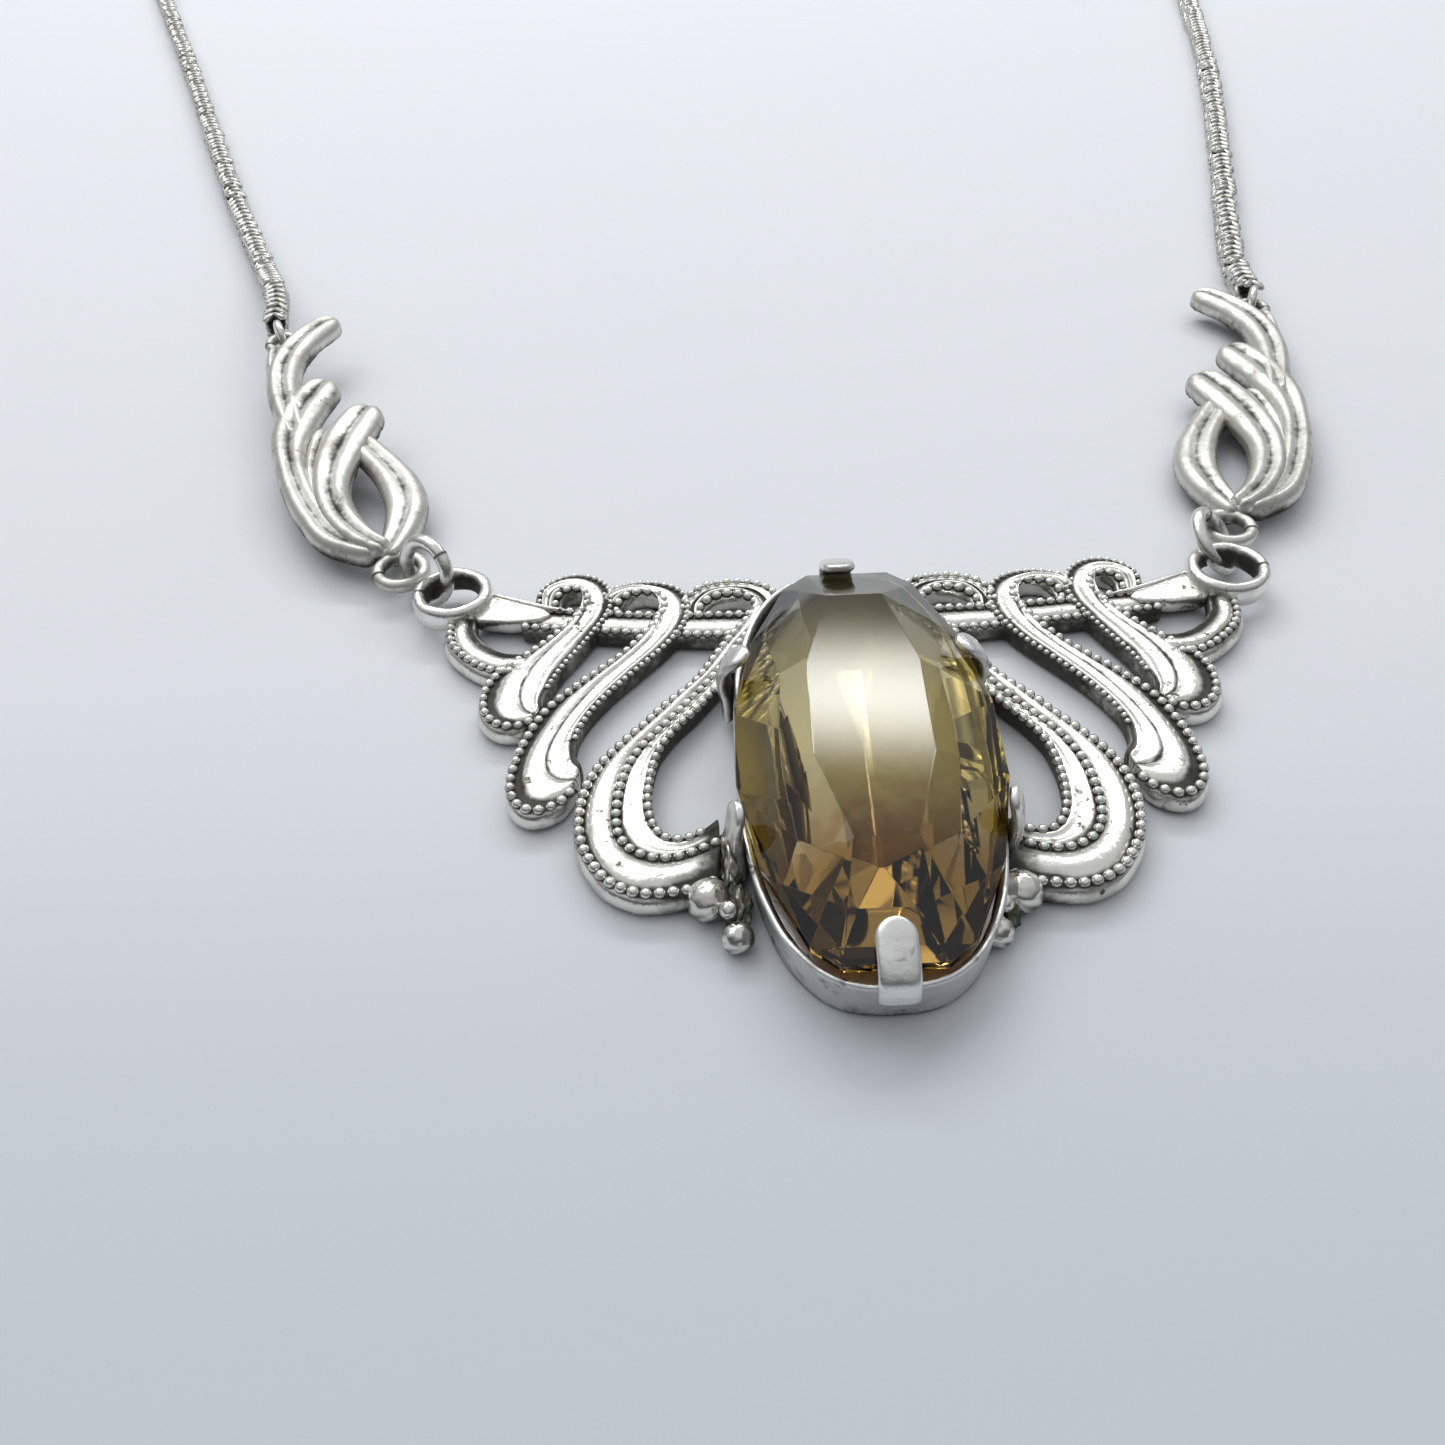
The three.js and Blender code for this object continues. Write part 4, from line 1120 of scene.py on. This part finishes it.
def prong(bm, width, side_view):
    path = Line([(x, 0, z) for x, z in side_view])
    half = width / 2

    def place(share, section):
        angle = section * math.tau
        ahead = path.heading(share, 0.02)
        normal = Vector((ahead.z, 0, -ahead.x))
        left = (1 - share) * path.length
        tip = math.sqrt(max(1 - (1 - min(left / half, 1.0)) ** 2, 0.0))
        start = min(share * path.length / 0.15, 1.0)
        wide = half * tip * (0.9 + 0.1 * start)
        deep = PRONG_THICK * (0.45 + 0.55 * tip) * (0.3 + 0.7 * start)
        cosine, sine = math.cos(angle), math.sin(angle)
        flat = Vector((0, wide * math.copysign(abs(cosine) ** 0.6, cosine), 0))
        skin = normal * deep * math.copysign(abs(sine) ** 0.8, sine)
        # The underside of the tab and its foot get painted shade.
        under = max(0.0, -sine)
        return path(share) + flat + skin, min(0.08 + under * 0.8 + 0.5 * (1 - start), 1.0)

    bend_grid(bm, 60, 24, place)
    outwards(bm)


PRONGS = {
    "prong_top": (1, 0, 0), "prong_bottom": (-1, 0, 0),
    "prong_upper_right": (0, 1, 1), "prong_lower_right": (0, 1, -1),
    "prong_upper_left": (0, -1, 1), "prong_lower_left": (0, -1, -1),
}
SIDE_PRONG_OFFSET = 5.1
STONE_ROUNDNESS = 12.1 / 26.0


def prong_place(end, side, along):
    if end:
        return moved(0, end * COLLAR_HALF_LENGTH, 0) @ turned(end * QUARTER_TURN, "Z")
    height = along * SIDE_PRONG_OFFSET
    share = 1 - (abs(height) / COLLAR_HALF_LENGTH) ** COLLAR_SQUARENESS
    width = side * COLLAR_HALF_WIDTH * share ** (1 / COLLAR_SQUARENESS)
    lean = along * side * math.atan(SIDE_PRONG_OFFSET * STONE_ROUNDNESS ** 2 / abs(width))
    facing = lean if side > 0 else math.pi + lean
    return moved(width, height, 0) @ turned(facing, "Z")


for name, (end, side, along) in PRONGS.items():
    bm = bmesh.new()
    if end:
        prong(bm, END_WIDTH, END_PATH)
    else:
        prong(bm, SIDE_WIDTH, UPPER_PATH if along > 0 else LOWER_PATH)
    piece(
        f"{name}_tab", bm, "prong silver", "centrepiece",
        replaces=[name], local=STONE_TURN @ prong_place(end, side, along),
    )

# %% [markdown]
# Each side link is cast as a knot of long leaves, with twin ridges down each leaf. The leaves are
# lofts like the scrolls, and each fades into a round tip. A small difference in height lets one
# leaf pass over the next.

# %% Side links
# Each entry is: across, a step outwards, height, and patina with painted shade, darkest low on the sides
# and in the middle groove.
LEAF_SECTION = [
    (0, 0.0, -0.55, 0.9), (0, 0.12, -0.15, 0.5), (0, 0.12, 0.30, 0.2), (0.05, 0, 0.62, 0.1),
    (0.16, 0, 0.80, 0.0), (0.28, 0, 0.84, 0.0), (0.40, 0, 0.72, 0.3), (0.5, 0, 0.66, 0.6),
    (0.60, 0, 0.72, 0.3), (0.72, 0, 0.84, 0.0), (0.84, 0, 0.80, 0.0), (0.95, 0, 0.62, 0.1),
    (1, -0.12, 0.30, 0.3), (1, -0.12, -0.15, 0.7), (1, 0.0, -0.55, 0.9),
]
LINK_LEAVES = [
    [(0.5, 1.2, 0.6), (-0.9, 3.4, 0.95), (-1.85, 5.6, 1.15), (-2.05, 7.8, 1.15), (-1.75, 10.0, 1.0),
     (-1.2, 12.2, 0.9), (-1.0, 13.6, 0.7)],
    [(0.4, 1.5, 0.6), (1.5, 3.6, 0.85), (2.05, 6.0, 1.0), (1.95, 8.5, 1.05), (1.15, 11.0, 1.25),
     (-0.1, 13.3, 1.4), (-1.4, 15.1, 1.35), (-2.5, 16.4, 1.1)],
    [(0.9, 1.6, 0.6), (2.8, 4.0, 0.85), (3.45, 6.8, 0.9), (3.65, 9.8, 0.9), (3.5, 12.6, 0.9),
     (2.9, 15.4, 1.15), (1.6, 18.0, 1.35), (0.2, 19.8, 1.3), (-0.8, 20.9, 1.05)],
    [(2.7, 8.0, 0.5), (2.35, 11.0, 0.6), (1.5, 13.6, 0.65), (0.6, 15.4, 0.6)],
    [(2.5, 15.2, 0.7), (2.4, 18.6, 0.9), (2.1, 21.6, 1.0), (1.3, 24.2, 1.05), (-0.1, 26.3, 1.05),
     (-1.8, 27.7, 1.0), (-3.1, 28.4, 0.85)],
    [(2.3, 19.4, 0.55), (2.2, 22.6, 0.65), (1.9, 25.0, 0.6), (1.35, 26.8, 0.5)],
]
LEAF_RISE = [-0.1, 0.25, 0.05, -0.05, 0.05, -0.15]


def link_leaves():
    bm = bmesh.new()
    bm.verts.layers.float.new(PATINA_AND_SHADE)
    for stations, rise in zip(LINK_LEAVES, LEAF_RISE):
        start = len(bm.verts)
        loft(bm, edges_of(stations), LEAF_SECTION, 72, fade=(0.5, 1.15))
        bm.verts.ensure_lookup_table()
        bmesh.ops.translate(bm, verts=bm.verts[start:], vec=(0, 0, rise))
    outwards(bm)
    return bm


for side in ("right", "left"):
    left = side == "left"
    place = link_place(side)
    shared = ("link silver", f"link_{side}")
    piece(
        f"link_leaves_{side}", link_leaves(), *shared,
        replaces=[f"side_link_{side}"], levels=1, local=place, mirror=left,
    )
    eye = wire_ring(1.30, 0.36, cut=CLOSED, around=56, sides=14, tall=1.1)
    piece(f"link_eye_{side}", eye, *shared, local=place, mirror=left)
    lug = wire_ring(LUG_RADIUS, 0.34, cut=CLOSED, around=48, sides=12)
    lug_place = place @ moved(LUG_SIDE, LINK_LENGTH, 0)
    piece(f"link_lug_{side}", lug, *shared, local=lug_place, mirror=left)

# %% [markdown]
# The clasp is a spring ring: a hollow C with a bolt inside it. The CAD solids already have their
# true shape, so they keep it and only get their finish.

# %% Finishes on the carried-over solids
KEPT = {
    "bearing_ledge": "bearing silver", "clasp_body": "clasp silver", "clasp_bolt": "clasp silver",
    "clasp_eye": "clasp silver", "clasp_spring": "spring wire", "end_ring": "clasp silver",
}
for node, finish in KEPT.items():
    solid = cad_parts[node]
    solid.data.materials.clear()
    solid.data.materials.append(finishes[finish])
print("kept", len(KEPT), "CAD solids")

# %% [markdown]
# Last, points are taken along each chain's route, about one to a millimetre, and are not kept.

# %% Points along the chains
for side, chain in chains.items():
    route = routes[side]
    count = round(route.length)
    [to_frame @ route(k / count) for k in range(count + 1)]
    print(side, "chain declared")

# %% [markdown]
# The set is a sheet of pale, faintly blue paper. One flat colour would do, but real paper is a
# little mottled, and its tone falls off towards the front, where less of the window reaches it.

# %% Floor
PAPER_PALE, PAPER_PALEST = (0.82, 0.845, 0.88), (0.85, 0.868, 0.895)
PAPER_FRONT = (0.665, 0.705, 0.745)
FALL_OFF = (-44.0, 2.0)
FLOOR_HALF = 1.2

floor_bm = bmesh.new()
bmesh.ops.create_grid(floor_bm, x_segments=4, y_segments=4, size=FLOOR_HALF)
floor_mesh = bpy.data.meshes.new("floor")
floor_bm.to_mesh(floor_mesh)
floor_bm.free()
floor = bpy.data.objects.new("floor", floor_mesh)
bpy.context.scene.collection.objects.link(floor)
paper = Finish("pale paper")
mottle = paper.noise(25.0, 3.0)
along = paper.node("ShaderNodeSeparateXYZ", Vector=paper.place)["Y"] * 1000.0
lit = paper.step(along, *(edge + zero.y * 1000 for edge in FALL_OFF))
sheet = paper.blend(mottle, PAPER_PALE, PAPER_PALEST)
paper.set(Base_Color=paper.blend(lit, PAPER_FRONT, sheet), Roughness=0.75)
floor.data.materials.append(paper.material)
print("floor is", round(2 * FLOOR_HALF, 1), "m wide")

# %% [markdown]
# Polished metal and glass show what surrounds them, so the lights are shapes as much as they are
# brightness. A long window behind the necklace gives the stone its white band. A plain area light
# is mirrored with hard edges, so this one's own shader lets the glow die away towards its upper
# and lower edge. A dim ceiling fills the shadows.

# %% Lights
def soft_light(name, place, target, size, power, colour):
    data = bpy.data.lights.new(name, "AREA")
    data.shape = "RECTANGLE"
    data.size, data.size_y = size
    data.energy = power
    data.color = colour
    light = bpy.data.objects.new(name, data)
    bpy.context.scene.collection.objects.link(light)
    light.location = at(*place)
    aim = at(*target) - light.location
    light.rotation_euler = aim.to_track_quat("-Z", "Y").to_euler()
    return light


window = soft_light("window", (20, 229, 217), (0, -13, 5), (0.34, 0.050), 0.64, (0.97, 0.99, 1.0))
window.data.use_nodes = True
panes = window.data.node_tree
spot = panes.nodes.new("ShaderNodeNewGeometry")
part = panes.nodes.new("ShaderNodeSeparateXYZ")
panes.links.new(spot.outputs["Parametric"], part.inputs[0])
height = Term(panes, part.outputs["Y"])
glow = (height * (1.0 - height) * 4.0) ** 3.0
panes.links.new(glow.socket, panes.nodes["Emission"].inputs["Strength"])
soft_light("ceiling", (-150, 190, 330), (0, 20, 0), (0.36, 0.30), 0.40, (0.98, 0.99, 1.0))

print("window and ceiling hung")

# %% [markdown]
# The room goes from bright above to dark at the horizon in front. An even white world would be
# simpler, but without something dark to mirror, silver would look like white plastic.

# %% Room
ROOM_STOPS = [(0.0, (0.12, 0.125, 0.13, 1)), (0.75, (0.95, 0.97, 1.0, 1))]
ROOM_STRENGTH = 0.66
ROOM_TIPPED = 0.35  # how much brighter the room is behind than in front

world = bpy.data.worlds.new("room")
bpy.context.scene.world = world
world.use_nodes = True
sky = world.node_tree
heading = sky.nodes.new("ShaderNodeTexCoord")
split = sky.nodes.new("ShaderNodeSeparateXYZ")
ramp = sky.nodes.new("ShaderNodeValToRGB")
sky.links.new(heading.outputs["Generated"], split.inputs[0])
upward = Term(sky, split.outputs["Z"]) + Term(sky, split.outputs["Y"]) * ROOM_TIPPED
sky.links.new(upward.socket, ramp.inputs[0])
sky.links.new(ramp.outputs[0], sky.nodes["Background"].inputs[0])
for stop, (position, colour) in zip(ramp.color_ramp.elements, ROOM_STOPS):
    stop.position = position
    stop.color = colour
sky.nodes["Background"].inputs[1].default_value = ROOM_STRENGTH
bpy.context.scene.view_settings.view_transform = "Standard"
print("set ready")

# %% [markdown]
# Last, the scene is brought up to date. The finished necklace has to fill the frame's box and
# no more.

# %% Bringing the scene up to date
bpy.context.view_layer.update()
